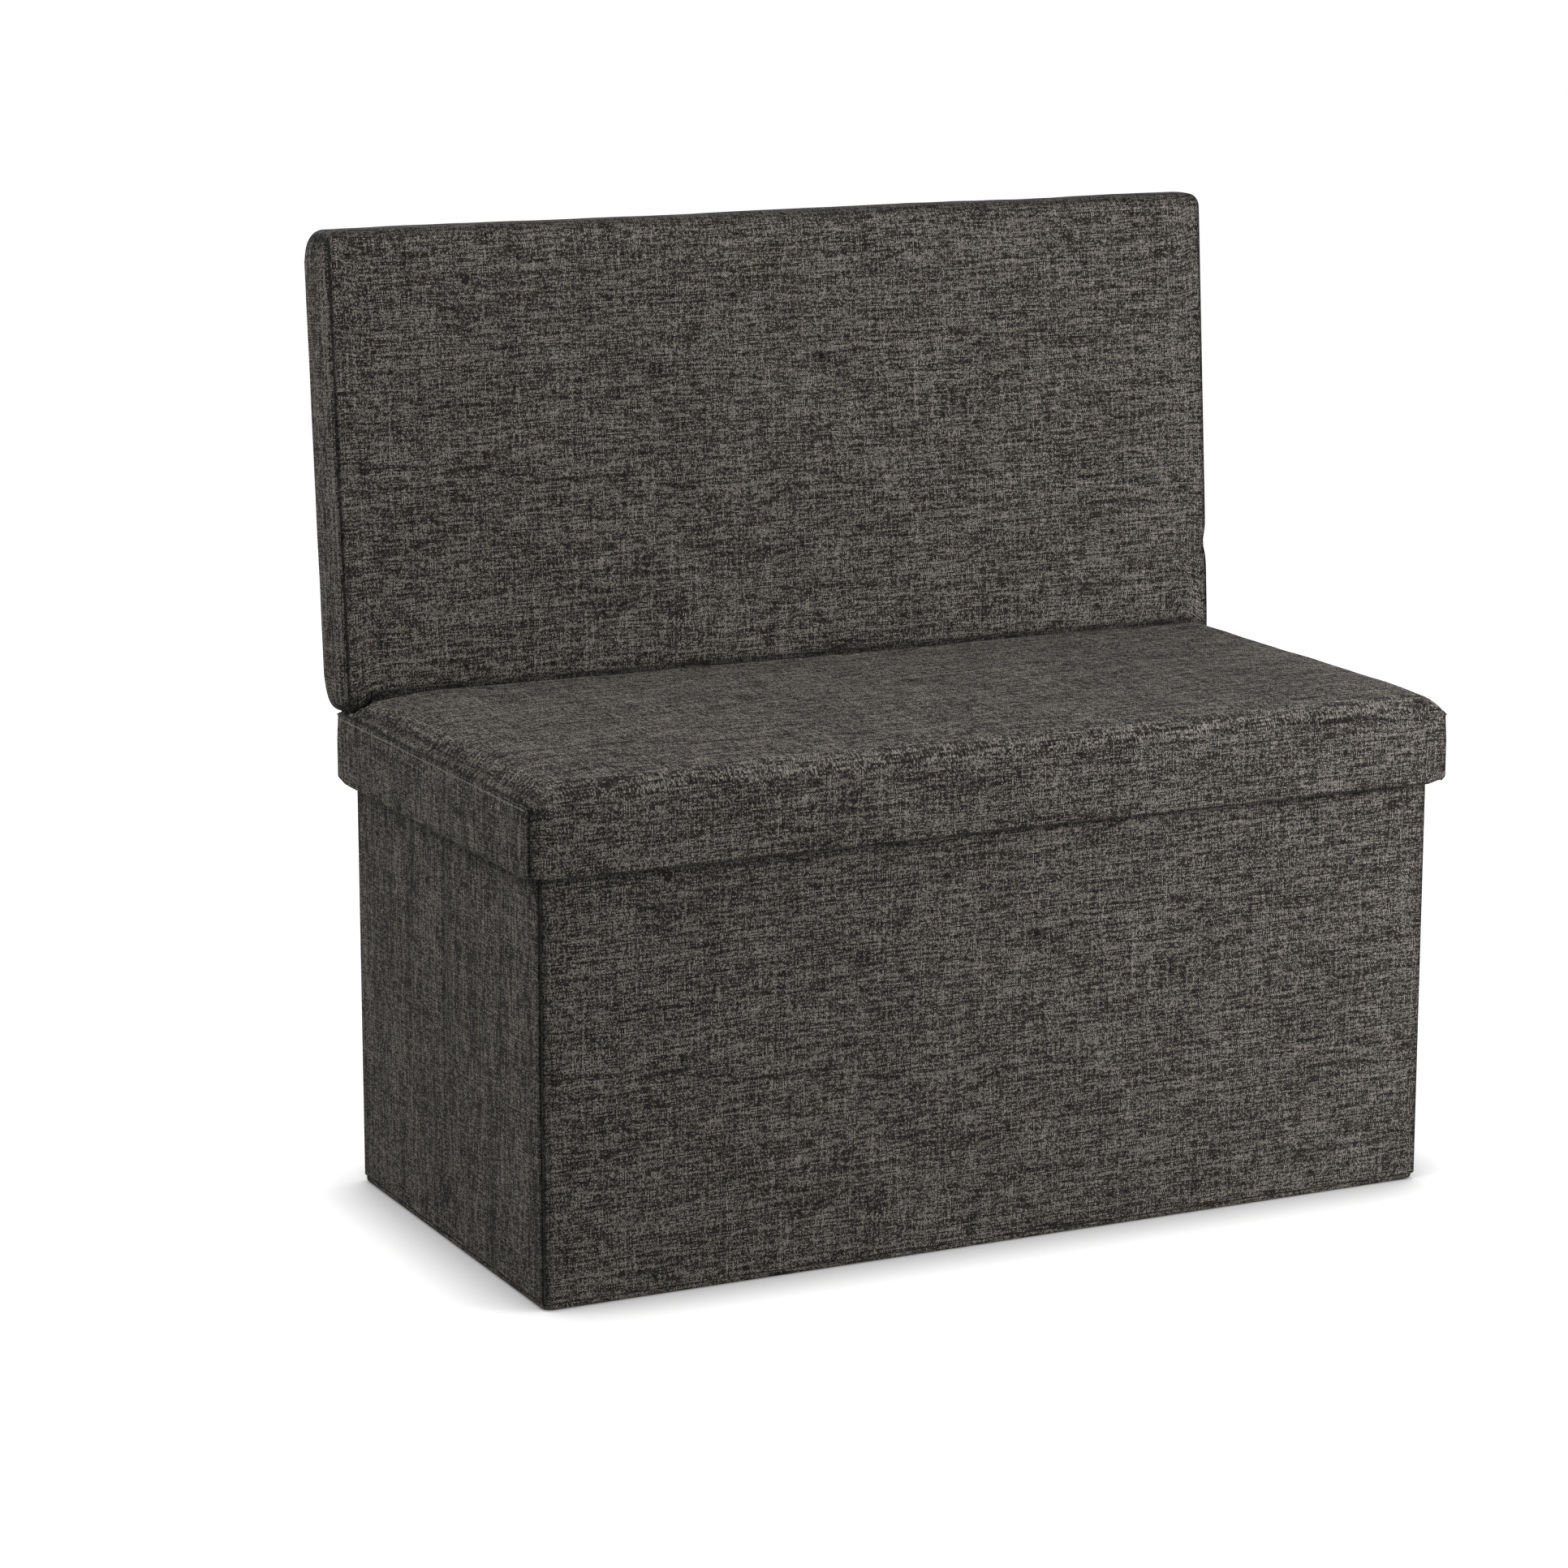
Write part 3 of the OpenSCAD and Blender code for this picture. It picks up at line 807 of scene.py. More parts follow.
def makeLidCover(material):
    thick, corner, wide = lid["skirtThick"], lid["cornerRadius"], lid["frontShoulder"]
    skirt, across, columns = skirtRows(), seatLines(), lidColumns()
    total = len(columns)
    rows = []
    for j, (x, turn) in enumerate(columns):
        side = -1 if x < 0 else 1
        tuck = max(2 - j, j - (total - 3), 0)
        pull, lap = lid["tucks"][tuck], lid["laps"][tuck]
        centre = side * (lidHalfW - corner) if turn else x
        fromCorner = max(lidHalfW - corner - abs(x), 0) if not turn else 0
        drawn = lid["seamPull"] * (1 - float(smooth(fromCorner / lid["seamReach"])))
        out = skirt[:, 0] + corner - thick - drawn * (skirt[:, 0] > thick / 2)
        px = centre + side * out * math.sin(turn) - side * pull
        py = -(lidHalfD - corner) - out * math.cos(turn) + lap
        pz = skirt[:, 1] + hemLift(skirt[:, 1], fromCorner)
        front = np.stack([px, py, pz], 1)
        back = front[::-1] * (1, -1, 1)
        edge = (lidHalfD - corner) + (corner - drawn) * math.cos(turn)
        beyond = np.abs(across) - (lidHalfD - wide)
        squeezed = np.sign(across) * (lidHalfD - wide + beyond * (edge - lidHalfD + wide) / wide)
        y = np.where(beyond > 0, squeezed, across)
        z = seamZ + seatHeight(np.full_like(across, x), across) - lap
        fromFront, downWide, inWide = lid["grooveEase"]
        inside, fromEnd = smooth((lidHalfD - np.abs(across)) / fromFront), lidHalfW - abs(x)
        z = z - lid["grooveDown"] * inside * (1 - smooth(fromEnd / downWide))
        seatX = x - side * (pull + lid["grooveIn"] * inside * (1 - smooth(fromEnd / inWide)))
        rows.append(np.concatenate([front, np.stack([seatX, y, z], 1), back]))
    rows = np.stack(rows, 1)
    run = np.linalg.norm(np.diff(rows[:, total // 2], axis=0), axis=1)
    run[len(skirt):len(skirt) + len(across)] *= clothGrain
    run = np.concatenate([[0], np.cumsum(run)])
    mapped = mapOf(rows[..., 0].mean(0)[None, :], run[:, None])
    piece = gridPiece("lidCover", rows, mapped, material)
    weld(piece)
    faceAwayFrom(piece, (0, 0, hemZ))
    place, _ = pointsOf(piece)
    x, y, z = place.T
    inset = np.minimum(lidHalfW - np.abs(x), np.minimum(y + lidHalfD, backrest["hingeY"] - y))
    relaxCloth(piece, smooth((inset - lid["seatFree"]) / lid["seatEase"]) * (z > seamZ), lid)
    outside = smooth((z - hemZ - 4 * mm) / lid["hemCalm"]) * smooth((lidHalfW - np.abs(x)) / lid["endCalm"])
    inner = (np.abs(y) < lidHalfD - 4 * mm) & (z < seamZ)
    uneven = np.where(inner, 0, outside) * lid["uneven"] * unevenness(place, lid["waves"])
    place, normal = pointsOf(piece)
    place = place + normal * uneven[:, None]
    place[:, 2] += hemWave(place, (1 - outside) * (z < seamZ))
    creased, (fadeIn, fadeOut) = 0, lid["creaseFade"]
    for start, end, high in lid["creases"]:
        along = smooth((x - start) / fadeIn) * smooth((end - x) / fadeOut) * (y < -lidHalfD + 10 * mm)
        creased = creased + along * bell(z - seamZ - high, lid["creaseWide"])
    place = easeCorners(place - normal * (lid["creaseDeep"] * creased)[:, None])
    movePoints(piece, place)
    x, y, z = place.T
    # Painted shade: darkest in the end seams and fading beside them, in the valley behind the left welt, in
    # the creases, at the step under the foot of the backrest, and a dark line along the hem
    look, dx = lidShade, lidHalfW - np.abs(x)
    top = (z > seamZ + 0.5 * mm) & (x < 0)
    valley = look["valley"] * bell(dx - lid["weltWide"] - look["valleyIn"], look["valleyWide"]) * top
    shade = look["seam"] * np.exp(-dx / np.where(top, look["topSeamWide"], look["seamWide"]))
    shade = shade + look["edge"] * (1 - smooth(dx / look["edgeWide"]))
    foot = look["foot"] * bell(y - backrest["hingeY"] + lid["deckFront"], look["footWide"]) * (z > seamZ)
    shade = np.max([shade, valley, look["crease"] * creased, foot], axis=0)
    shadeSeam(piece, np.where(z < hemZ + look["hemHigh"], look["hem"], shade))
    thicken(piece, lid["cloth"])
    return piece


def makeLidEnd(name, side, material):
    thick, deep, edge = lid["skirtThick"], lid["tucks"][-1], lid["panelEdge"]
    turns = np.radians(np.linspace(15, 90, 6))
    skirt = skirtRows()
    skirt[-1, 1] = seamZ - edge + 0.3 * mm
    over = [(thick - edge + edge * math.cos(t), seamZ - edge + edge * math.sin(t) + 0.3 * mm) for t in turns]
    skirt = np.vstack([skirt, over, (thick - deep, seamZ - 2 * mm)])
    half = lidHalfD - lid["cornerRadius"]
    flat = np.array([1.6, 3, 5, 8, 12]) * edge
    near = np.concatenate([[-0.2 * mm], edge - edge * np.sin(turns[::-1]), flat])
    reach = half - lid["rowEnds"]
    y = np.concatenate([-half + near, np.linspace(-reach, reach, 66), half - near[::-1]])
    fall = np.concatenate([[deep], edge - edge * np.cos(turns[::-1])])
    pull = np.zeros(len(y))
    pull[:len(fall)] = fall
    pull[-len(fall):] = fall[::-1]
    out = skirt[:, 0][:, None] - (skirt[:, 0] > thick / 2)[:, None] * pull[None, :]
    lift = hemLift(skirt[:, 1][:, None], (half - np.abs(y))[None, :])
    points = np.zeros((len(skirt), len(y), 3))
    points[..., 0] = side * (lidHalfW - thick + out)
    points[..., 1] = y[None, :]
    points[..., 2] = skirt[:, 1][:, None] + lift
    mapped = mapOf(runAlong(skirt)[:, None] + side * 0.5, y[None, :] * clothGrain)
    piece = gridPiece(name, points, mapped, material)
    faceAwayFrom(piece, (0, 0, hemZ))
    place, normal = pointsOf(piece)
    face = np.abs(normal[:, 0]) * (np.abs(place[:, 0]) > lidHalfW - 2 * mm)
    edge = np.minimum(seamZ - place[:, 2], half - np.abs(place[:, 1]))
    rise = smooth(edge / (12 * mm)) * smooth((place[:, 2] - hemZ) / (14 * mm))
    amount = face * rise * lid["panelFull"] * (1 + roll(place, lid["panelWave"], 5.3 + side))
    place = place + np.array([side, 0, 0]) * amount[:, None]
    place[:, 2] += hemWave(place, 1 - smooth((place[:, 2] - hemZ) / lid["hemCalm"]))
    movePoints(piece, easeCorners(place))
    # Painted shade in the seams round the end panel; the streaks are darker runs of thread
    shade = lidShade["panelSeam"] * bell(edge, lidShade["panelSeamWide"])
    shadeSeam(piece, shade + streaks(place, lid["streakWide"], lid["streaks"], 6.4 + side))
    thicken(piece, lid["cloth"])
    return piece


def makeSkirtBoards(looks):
    # The boards in the skirt stand back a little more at their ends and tops, where the cloth is drawn in
    for side in ("front", "back", "left", "right"):
        node = "skirt_" + side + "_board"
        low, high = boxOf(node)
        long = 0 if side in ("front", "back") else 1
        low[long] += lid["boardShort"]
        high[long] -= lid["boardShort"]
        high[2] -= lid["boardDown"]
        outward = 1 - long
        if low[outward] < 0:
            low[outward] += lid["boardBack"]
        else:
            high[outward] -= lid["boardBack"]
        strip = roundedBlock(side + "SkirtBoard", low, high, looks["board"], radius=0.3 * mm, step=40 * mm)
        fit(strip, "lid", "fibreboard", node)


def makeLid(looks):
    cover = makeLidCover(looks["linen"])
    fit(cover, "lid", "linen", "seat_cover", "skirt_cover", fill=0.9)
    reach, level = lidHalfD - lid["stitchShort"], seamZ - lid["stitchDrop"]
    for hand, side in (("Left", -1), ("Right", 1)):
        end = makeLidEnd("lid" + hand + "End", side, looks["linen"])
        fit(end, "lid", "linen")
        path = [(side * (lidHalfW + mm), y, level) for y in np.linspace(-reach, reach, 60)]
        stitchRow(end.name + "Stitches", "lid", end, path, looks["thread"])
    makeSkirtBoards(looks)
    low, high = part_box("seat_foam")
    block = roundedBlock("seatFoam", low, high, looks["foam"], radius=5 * mm, step=9 * mm)
    place, _ = pointsOf(block)
    room = (seatHeight(place[:, 0], place[:, 1]) - lid["foamUnder"]) / (high[2] - low[2])
    place[:, 2] = low[2] + (place[:, 2] - low[2]) * np.clip(room, 0.05, 1.2)
    movePoints(block, place)
    fit(block, "lid", "foam", "seat_foam", fill=1.0)
    low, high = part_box("lid_lining")
    under = roundedBlock("lidUnderside", low, high, looks["lining"], radius=0.5 * mm, step=12 * mm)
    fit(under, "lid", "lining", "lid_lining")
    print("lid made")


# Backrest: one cloth goes up the front, over the top, down the back and under; a gusset closes each end
def backLoop(low, high, edge):
    # Round the section: (rise, depth, part), where part counts front, top, rear and bottom from 0 to 3
    front, rear, wide = backrest["frontSeam"], backrest["rearSeam"], backrest["rearEdge"]
    shares, across = np.linspace(0, 1, 58), np.linspace(0, 1, 9)
    steps = np.radians(np.linspace(0, 90, 8)[1:-1])
    loop = [(low + edge + s * (high - low - 2 * edge), front, 0) for s in shares]
    loop += [(high - edge + edge * math.sin(t), front + edge - edge * math.cos(t), 1) for t in steps]
    loop += [(high, front + edge + s * (rear - wide - front - edge), 1) for s in across]
    loop += [(high - wide + wide * math.cos(t), rear - wide + wide * math.sin(t), 1) for t in steps]
    loop += [(high - wide - s * (high - low - 2 * wide), rear, 2) for s in shares]
    loop += [(low + wide - wide * math.sin(t), rear - wide + wide * math.cos(t), 3) for t in steps]
    loop += [(low, rear - wide - s * (rear - wide - front - edge), 3) for s in across]
    loop += [(low + edge - edge * math.cos(t), front + edge - edge * math.sin(t), 3) for t in steps]
    return np.array(loop + loop[:1])


def makeBackCover(material):
    upper, lower = backrest["topCorner"], backrest["bottomCorner"]
    half, top, bottom = backrest["halfWidth"], backrest["top"], backrest["bottom"]
    front, rear, end = backrest["frontSeam"], backrest["rearSeam"], backrest["gussetEnd"]
    left = [(-half + upper - upper * math.sin(t), t) for t in np.linspace(end, 0, 10)]
    inside = np.linspace(-half + upper, half - upper, 126)[1:-1]
    columns = left + [(x, 0.0) for x in inside] + [(-x, t) for x, t in reversed(left)]
    columns = [columns[0]] * 2 + columns + [columns[-1]] * 2
    total = len(columns)
    loops = []
    for j, (x, turn) in enumerate(columns):
        side = -1 if x < 0 else 1
        tuck = max(2 - j, j - (total - 3), 0)
        pull, lap = backrest["tucks"][tuck], backrest["laps"][tuck]
        inner = smooth((half - abs(x)) / backrest["seamSide"])
        edge = backrest["seamEdge"] + (backrest["frontEdge"] - backrest["seamEdge"]) * float(inner)
        high = top - upper * (1 - math.cos(turn))
        low = bottom + lower * (1 - math.cos(turn))
        rise, depth, part = backLoop(low, high, edge).T
        share = (rise - low) / (high - low)
        foot = half - lower + lower * math.sin(turn) if turn else abs(x) * (half - lower) / (half - upper)
        wide = foot + (abs(x) - foot) * share
        clear = np.minimum(high - rise, rise - low)
        fill = (math.sin(turn) / math.sin(end)) ** 2 * smooth(clear / backrest["bandEase"]) * (turn > 0)
        wide = wide + (half - wide) * fill
        dx = np.maximum(half - wide, 0)
        dz = np.minimum(top - rise, rise - bottom)
        near = dx * dz / np.sqrt(dx * dx + dz * dz + 1e-12)
        crown = 1 - (1 - np.clip(near / backrest["crownReach"], 0, 1)) ** 2
        bow = backrest["swell"] * np.sin(np.pi * np.clip((depth - front) / (rear - front), 0, 1))
        band = (part == 1) * 1.0 - (part == 3) * 1.0
        rise = rise + (part == 1) * (bow * math.cos(turn) - lap) + (part == 3) * lap
        wide = wide + np.abs(band) * bow * math.sin(turn) - pull
        depth = depth - (part == 0) * (backrest["frontCrown"] * crown - lap)
        depth = depth + (part == 2) * (backrest["rearCrown"] * crown - lap)
        loops.append(np.stack([side * wide, rise, depth], 1))
    local = np.stack(loops, 1)
    points = backPoint(local[..., 0], local[..., 1], local[..., 2])
    mapped = mapOf(local[..., 0].mean(0)[None, :], runAlong(points[:, total // 2])[:, None])
    piece = gridPiece("backrestCover", points, mapped, material)
    weld(piece)
    faceAwayFrom(piece, backPoint(*backrest["inside"]))
    place, _ = pointsOf(piece)
    inset = half - np.abs(place[:, 0])
    rise, _ = backPlace(place)
    free = np.min([inset, top - rise, rise - bottom], axis=0) - backrest["freeFrom"]
    free = smooth(free / backrest["freeEase"])
    relaxCloth(piece, free, backrest)
    uneven = smooth(inset / backrest["calm"]) * backrest["uneven"] * unevenness(place, backrest["waves"])
    place, normal = pointsOf(piece)
    place = dented(place + normal * uneven[:, None], rise)
    movePoints(piece, place)
    # Painted shade: darkest in the end seams and fading inward, darker along the top edge and at the foot by
    # the seat
    look, dx = backShade, half - np.abs(place[:, 0])
    shade = look["seam"] * bell(dx, look["seamWide"]) + look["edge"] * (1 - smooth(dx / look["edgeWide"]))
    over = look["top"] * smooth((rise - top + look["topIn"]) / look["topWide"])
    under = look["foot"] * (1 - smooth(rise / look["footHigh"]))
    shadeSeam(piece, np.max([shade, over, under], axis=0))
    thicken(piece, backrest["cloth"])
    return piece


def backPlace(place):
    # Rise and depth in the backrest's own frame
    sine, cosine = math.sin(backrest["lean"]), math.cos(backrest["lean"])
    back, up = place[:, 1] - backrest["hingeY"], place[:, 2] - backrest["hingeZ"]
    return back * sine + up * cosine, back * cosine - up * sine


def leanBack(piece):
    # From (across, depth, rise) in the backrest's own frame
    place, _ = pointsOf(piece)
    movePoints(piece, backPoint(place[:, 0], place[:, 2], place[:, 1]))


def dented(place, rise):
    # The foot droops at its ends, and there is a soft dent low on the right edge
    high = 1 - smooth((rise - backrest["bottom"]) / backrest["droopHigh"])
    reach = np.where(place[:, 0] < 0, backrest["droopLeft"], backrest["droopRight"])
    ends = 1 - smooth((backrest["halfWidth"] - np.abs(place[:, 0])) / reach)
    place = place - np.array([0, 0, 1]) * (backrest["footDroop"] * high * ends)[:, None]
    near, (inside, wide) = bell(rise - backrest["dentRise"], backrest["dentReach"]), backrest["dentSide"]
    side = smooth((place[:, 0] - backrest["halfWidth"] + inside) / wide)
    return place - np.array([1, 0, 0]) * (backrest["dentDeep"] * near * side)[:, None]


gussetForm = {
    "fuller": 1.2 * mm,
    "ways": (0.1 * mm, 0.8 * mm, 2.2 * mm),
    "pulls": (backrest["tucks"][-1], 1.1 * mm, 0.3 * mm),
    "uneven": 0.8 * mm,
    "wave": 40 * mm,
    "calm": 10 * mm,
    "ridge": 0.4 * mm,
    "ridgeIn": 3 * mm,
    "ridgeWide": 2 * mm,
}


def makeGusset(name, side, material):
    upper, lower = backrest["topCorner"], backrest["bottomCorner"]
    half, top, bottom = backrest["halfWidth"], backrest["top"], backrest["bottom"]
    front, rear, end = backrest["frontSeam"], backrest["rearSeam"], backrest["gussetEnd"]
    turns = np.linspace(end, math.pi / 2, 6)[:-1]
    outline = [(half - lower + lower * math.sin(t), bottom + lower - lower * math.cos(t), t) for t in turns]
    outline += [(half, rise, math.pi / 2) for rise in np.linspace(bottom + lower, top - upper, 76)]
    outline += [
        (half - upper + upper * math.sin(t), top - upper + upper * math.cos(t), math.pi - t)
        for t in reversed(turns)
    ]
    outline = [outline[0]] * 2 + outline + [outline[-1]] * 2
    total, shares = len(outline), np.concatenate([[0, 0], np.linspace(0, 1, 16), [1, 1]])
    ways, pull = np.zeros(len(shares)), np.zeros(len(shares))
    for i, (way, deep) in enumerate(zip(gussetForm["ways"], gussetForm["pulls"])):
        ways[i], ways[-1 - i] = way, -way
        pull[[i, -1 - i]] = deep
    lowest, highest = outline[0][1], outline[-1][1]

    def cutBack(radius, clear):
        gap = max(radius - clear, 0)
        return radius - math.sqrt(radius * radius - gap * gap)

    points = []
    for i, (x, rise, turn) in enumerate(outline):
        tuck = max(2 - i, i - (total - 3), 0)
        clear = min(rise - lowest, highest - rise)
        start = front + cutBack(backrest["seamEdge"], clear)
        stop = rear - cutBack(backrest["rearEdge"], clear)
        depth = start + shares * (stop - start) + ways
        bow = (backrest["swell"] + gussetForm["fuller"]) * np.sin(np.pi * np.clip(shares, 0, 1)) ** 0.6
        out = bow - np.maximum(pull, backrest["tucks"][tuck])
        points.append(backPoint(side * (x + out * math.sin(turn)), rise - out * math.cos(turn), depth))
    points = np.array(points)
    run = runAlong(points[:, len(shares) // 2]) + side
    mapped = mapOf(run[:, None], (shares * (rear - front) * clothGrain)[None, :])
    piece = gridPiece(name, points, mapped, material)
    weld(piece)
    faceAwayFrom(piece, backPoint(*backrest["inside"]))
    place, normal = pointsOf(piece)
    rise, depth = backPlace(place)
    inset = np.min([depth - front, rear - depth, rise - lowest, highest - rise], axis=0)
    amount = gussetForm["uneven"] * roll(place, gussetForm["wave"], 9.2 + side)
    ridge = gussetForm["ridge"] * bell(inset - gussetForm["ridgeIn"], gussetForm["ridgeWide"])
    amount = amount * smooth(inset / gussetForm["calm"]) + ridge
    movePoints(piece, dented(place + normal * amount[:, None], rise))
    # Painted shade along the seams round the gusset
    shadeSeam(piece, backShade["seam"] * bell(inset, backShade["panelSeamWide"]))
    thicken(piece, backrest["cloth"])
    return piece


def makeBackBoard(material):
    # The panel of the backrest, cut back where the cover rounds over its rear edge
    rise, depth = backPlace(pointsOf(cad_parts["backrest_board"])[0])
    half = backrest["halfWidth"] - backrest["boardIn"]
    low = (-half, float(depth.min()), float(rise.min()) + backrest["boardShort"])
    high = (half, float(depth.max()) - backrest["boardClear"], float(rise.max()) - backrest["boardShort"])
    board = roundedBlock("backrestBoard", low, high, material, radius=0.3 * mm, step=60 * mm)
    leanBack(board)
    fit(board, "backrest", "fibreboard", "backrest_board")


def makeBackrest(looks):
    cover = makeBackCover(looks["linen"])
    covers = ("backrest_front_panel", "backrest_back_panel", "backrest_band")
    fit(cover, "backrest", "linen", *covers, fill=0.85)
    short = backrest["stitchShort"]
    rises = np.linspace(backrest["bottom"] + short, backrest["top"] - short, 60)
    for name, side in (("backrestLeftGusset", -1), ("backrestRightGusset", 1)):
        gusset = makeGusset(name, side, looks["linen"])
        fit(gusset, "backrest", "linen", "backrest_band")
        for count, depth in enumerate(backrest["stitchDepths"]):
            path = backPoint(side * (backrest["halfWidth"] + 3 * mm), rises, np.full(60, depth))
            stitchRow(name + "Stitches" + str(count), "backrest", gusset, path, looks["thread"])
    inside, half = backrest["foamIn"], backrest["halfWidth"] - backrest["foamIn"]
    low = (-half, backrest["foamFront"], backrest["bottom"] + inside)
    high = (half, backrest["foamRear"], backrest["top"] - inside)
    block = roundedBlock("backrestFoam", low, high, looks["foam"], radius=8 * mm, step=20 * mm)
    leanBack(block)
    fit(block, "backrest", "foam", "backrest_foam", fill=1.0)
    makeBackBoard(looks["board"])
    makeHingeStrip(looks["linen"])
    print("backrest made")


hinge = {
    "halfWidth": 360 * mm,
    "thick": 1.1 * mm,
    "bend": 1.2 * mm,
    "under": 26 * mm,
    "face": -0.3 * mm,
    # shade: painted shade over the whole strip, which lies in the shadow between the seat and the backrest
    "shade": 0.85,
}


def makeHingeStrip(material):
    # From under the foot of the backrest, forward, and up to the line where it turns
    level, face, bend = hinge["thick"] - lid["deckDrop"], hinge["face"], hinge["bend"]
    path = [(level, d) for d in np.linspace(hinge["under"], face + bend, 9)]
    for t in np.radians([30, 60, 90]):
        path.append((level + bend * (1 - math.cos(t)), face + bend * (1 - math.sin(t))))
    path += [(rise, face) for rise in np.linspace(level + 3 * mm, -0.3 * mm, 6)]
    path = np.array(path)
    x = np.linspace(-hinge["halfWidth"], hinge["halfWidth"], 61)
    points = backPoint(x[None, :], path[:, 0][:, None], path[:, 1][:, None])
    strip = gridPiece("hingeStrip", points, mapOf(x[None, :], runAlong(path)[:, None] + 3), material)
    faceAwayFrom(strip, backPoint(0, 0.05, -0.05) - np.array((0, 0, 0.2)))
    # The whole strip is painted in shade
    shadeSeam(strip, np.full(len(strip.data.vertices), hinge["shade"]))
    thicken(strip, hinge["thick"] - 0.2 * mm)
    start = backPoint(0, -4 * mm, 0)
    end = backPoint(0, 1 * mm, 0)
    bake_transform(strip)
    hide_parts("hinge_strip")


# Walls: linen over thin wadding, turned over the edges of each board
wall = {
    "edgeRadius": 1.7 * mm,
    "inset": 0.5 * mm,
    "lining": 0.8 * mm,
    "puff": 0.8 * mm,
    "puffReach": 40 * mm,
    "uneven": 0.7 * mm,
    "wave": 80 * mm,
    "sideWave": 70 * mm,
    "step": 8 * mm,
    "skinStep": 4 * mm,
    "skinDeep": 4.5 * mm,
    "skin": 1.0 * mm,
    "skinSpace": 0.8 * mm,
    "flapOut": 9.5 * mm,
    "flapSpace": 1.25 * mm,
    # flapSeam and crease paint shade into the side cloths' end seams and middle crease, seam into the ends of
    # the front and back walls, and the band at the hem's height is a painted shadow under the lid's hem;
    # streaks are darker runs of thread
    "flapSeam": 0.85,
    "flapSeamWide": 1.6 * mm,
    "ridgeIn": 6 * mm,
    "ridgeHigh": 0.5 * mm,
    "ridgeWide": 3 * mm,
    "ridgeFrom": 170 * mm,
    "dip": 0.8 * mm,
    "dipWide": 5 * mm,
    "crease": 0.35,
    "creaseWide": 3 * mm,
    "seam": 0.9,
    "seamWide": 2 * mm,
    "hemShadow": 0.6,
    "hemShadowWide": 5 * mm,
    "streaks": 0.75,
    "streakWide": 9 * mm,
}


def liningSheet(node, body, way, looks):
    # Stands a little proud of the turned-in linen and fills the same outline as its node
    low, high = boxOf(node)
    axis = int(np.argmax(np.abs(way)))
    if way[axis] > 0:
        low[axis] = high[axis] - wall["lining"]
    else:
        high[axis] = low[axis] + wall["lining"]
    name = node.replace("_", "") + "Sheet"
    piece = roundedBlock(name, low, high, looks["lining"], radius=0.35 * mm, step=12 * mm)
    fit(piece, body, "lining", node)


def makeFullWall(name, node, body, outward, looks):
    low, high = boxOf(node)
    if outward < 0:
        high[1] -= wall["inset"]
    else:
        low[1] += wall["inset"]
    low[0] += wall["flapSpace"]
    high[0] -= wall["flapSpace"]
    piece = roundedBlock(name, low, high, looks["linen"], wall["edgeRadius"], wall["step"])
    puff(piece, (0, outward, 0), wall["puff"], wall["puffReach"], wall["wave"], wall["uneven"], 6.6 + outward)
    place, _ = pointsOf(piece)
    edge = high[0] - np.abs(place[:, 0])
    ridge = wall["ridgeHigh"] * bell(edge - wall["ridgeIn"], wall["ridgeWide"])
    ridge = ridge * (place[:, 1] * outward > wall["ridgeFrom"])
    movePoints(piece, place + np.array([0, outward, 0]) * ridge[:, None])
    # Painted shade in the seams at the wall's ends, and a painted shadow under the lid's hem
    hemShadow = wall["hemShadow"] * bell(place[:, 2] - hemZ, wall["hemShadowWide"])
    shadeSeam(piece, np.maximum(wall["seam"] * bell(edge, wall["seamWide"]), hemShadow))
    fit(piece, body, "linen", node, fill=0.9)


def makeHalfWall(name, node, body, side, looks):
    low, high = boxOf(node)
    skin = wall["skinSpace"]
    if side < 0:
        low[0] += skin
        high[0] -= wall["inset"]
    else:
        low[0] += wall["inset"]
        high[0] -= skin
    low[2] += skin * 0.5
    high[2] -= skin * 0.5
    piece = roundedBlock(name, low, high, looks["linen"], wall["edgeRadius"], wall["step"], upright=True)
    fit(piece, body, "linen", node, fill=0.9)


def makeSideSkin(name, side, looks):
    # One cloth over both halves of a side, with a crease in the middle
    hand = "left" if side < 0 else "right"
    low, high = boxOf(hand + "_front_cover")[0], boxOf(hand + "_rear_cover")[1]
    low[1] -= wall["flapOut"]
    high[1] += wall["flapOut"]
    piece = roundedBlock(name, low, high, looks["linen"], wall["edgeRadius"], wall["skinStep"], upright=True)
    shape = bmesh.new()
    shape.from_mesh(piece.data)
    outer = max(abs(low[0]), abs(high[0]))
    limit, flap = outer - wall["skinDeep"], outer - wall["flapSpace"] + 0.1 * mm
    hinged = high[1] - wall["flapOut"] - 0.5 * mm
    inner = [v for v in shape.verts if abs(v.co.x) < (flap if abs(v.co.y) > hinged else limit)]
    bmesh.ops.delete(shape, geom=inner, context="VERTS")
    shape.to_mesh(piece.data)
    shape.free()
    puff(piece, (side, 0, 0), wall["puff"], wall["puffReach"], wall["sideWave"], wall["uneven"], 8.8 + side)
    place, _ = pointsOf(piece)
    dip = wall["dip"] * bell(place[:, 1], wall["dipWide"]) * (np.abs(place[:, 0]) > limit + 2 * mm)
    movePoints(piece, place - np.array([side, 0, 0]) * dip[:, None])
    # Painted shade in the seams at the ends and in the crease in the middle, plus darker runs of thread
    shade = wall["flapSeam"] * bell(high[1] - np.abs(place[:, 1]), wall["flapSeamWide"])
    shade = shade + wall["crease"] * bell(place[:, 1], wall["creaseWide"])
    shadeSeam(piece, shade + streaks(place, wall["streakWide"], wall["streaks"], 4.1 + side))
    thicken(piece, wall["skin"])
    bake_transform(piece)
    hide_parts(hand + "_front_cover", hand + "_rear_cover")


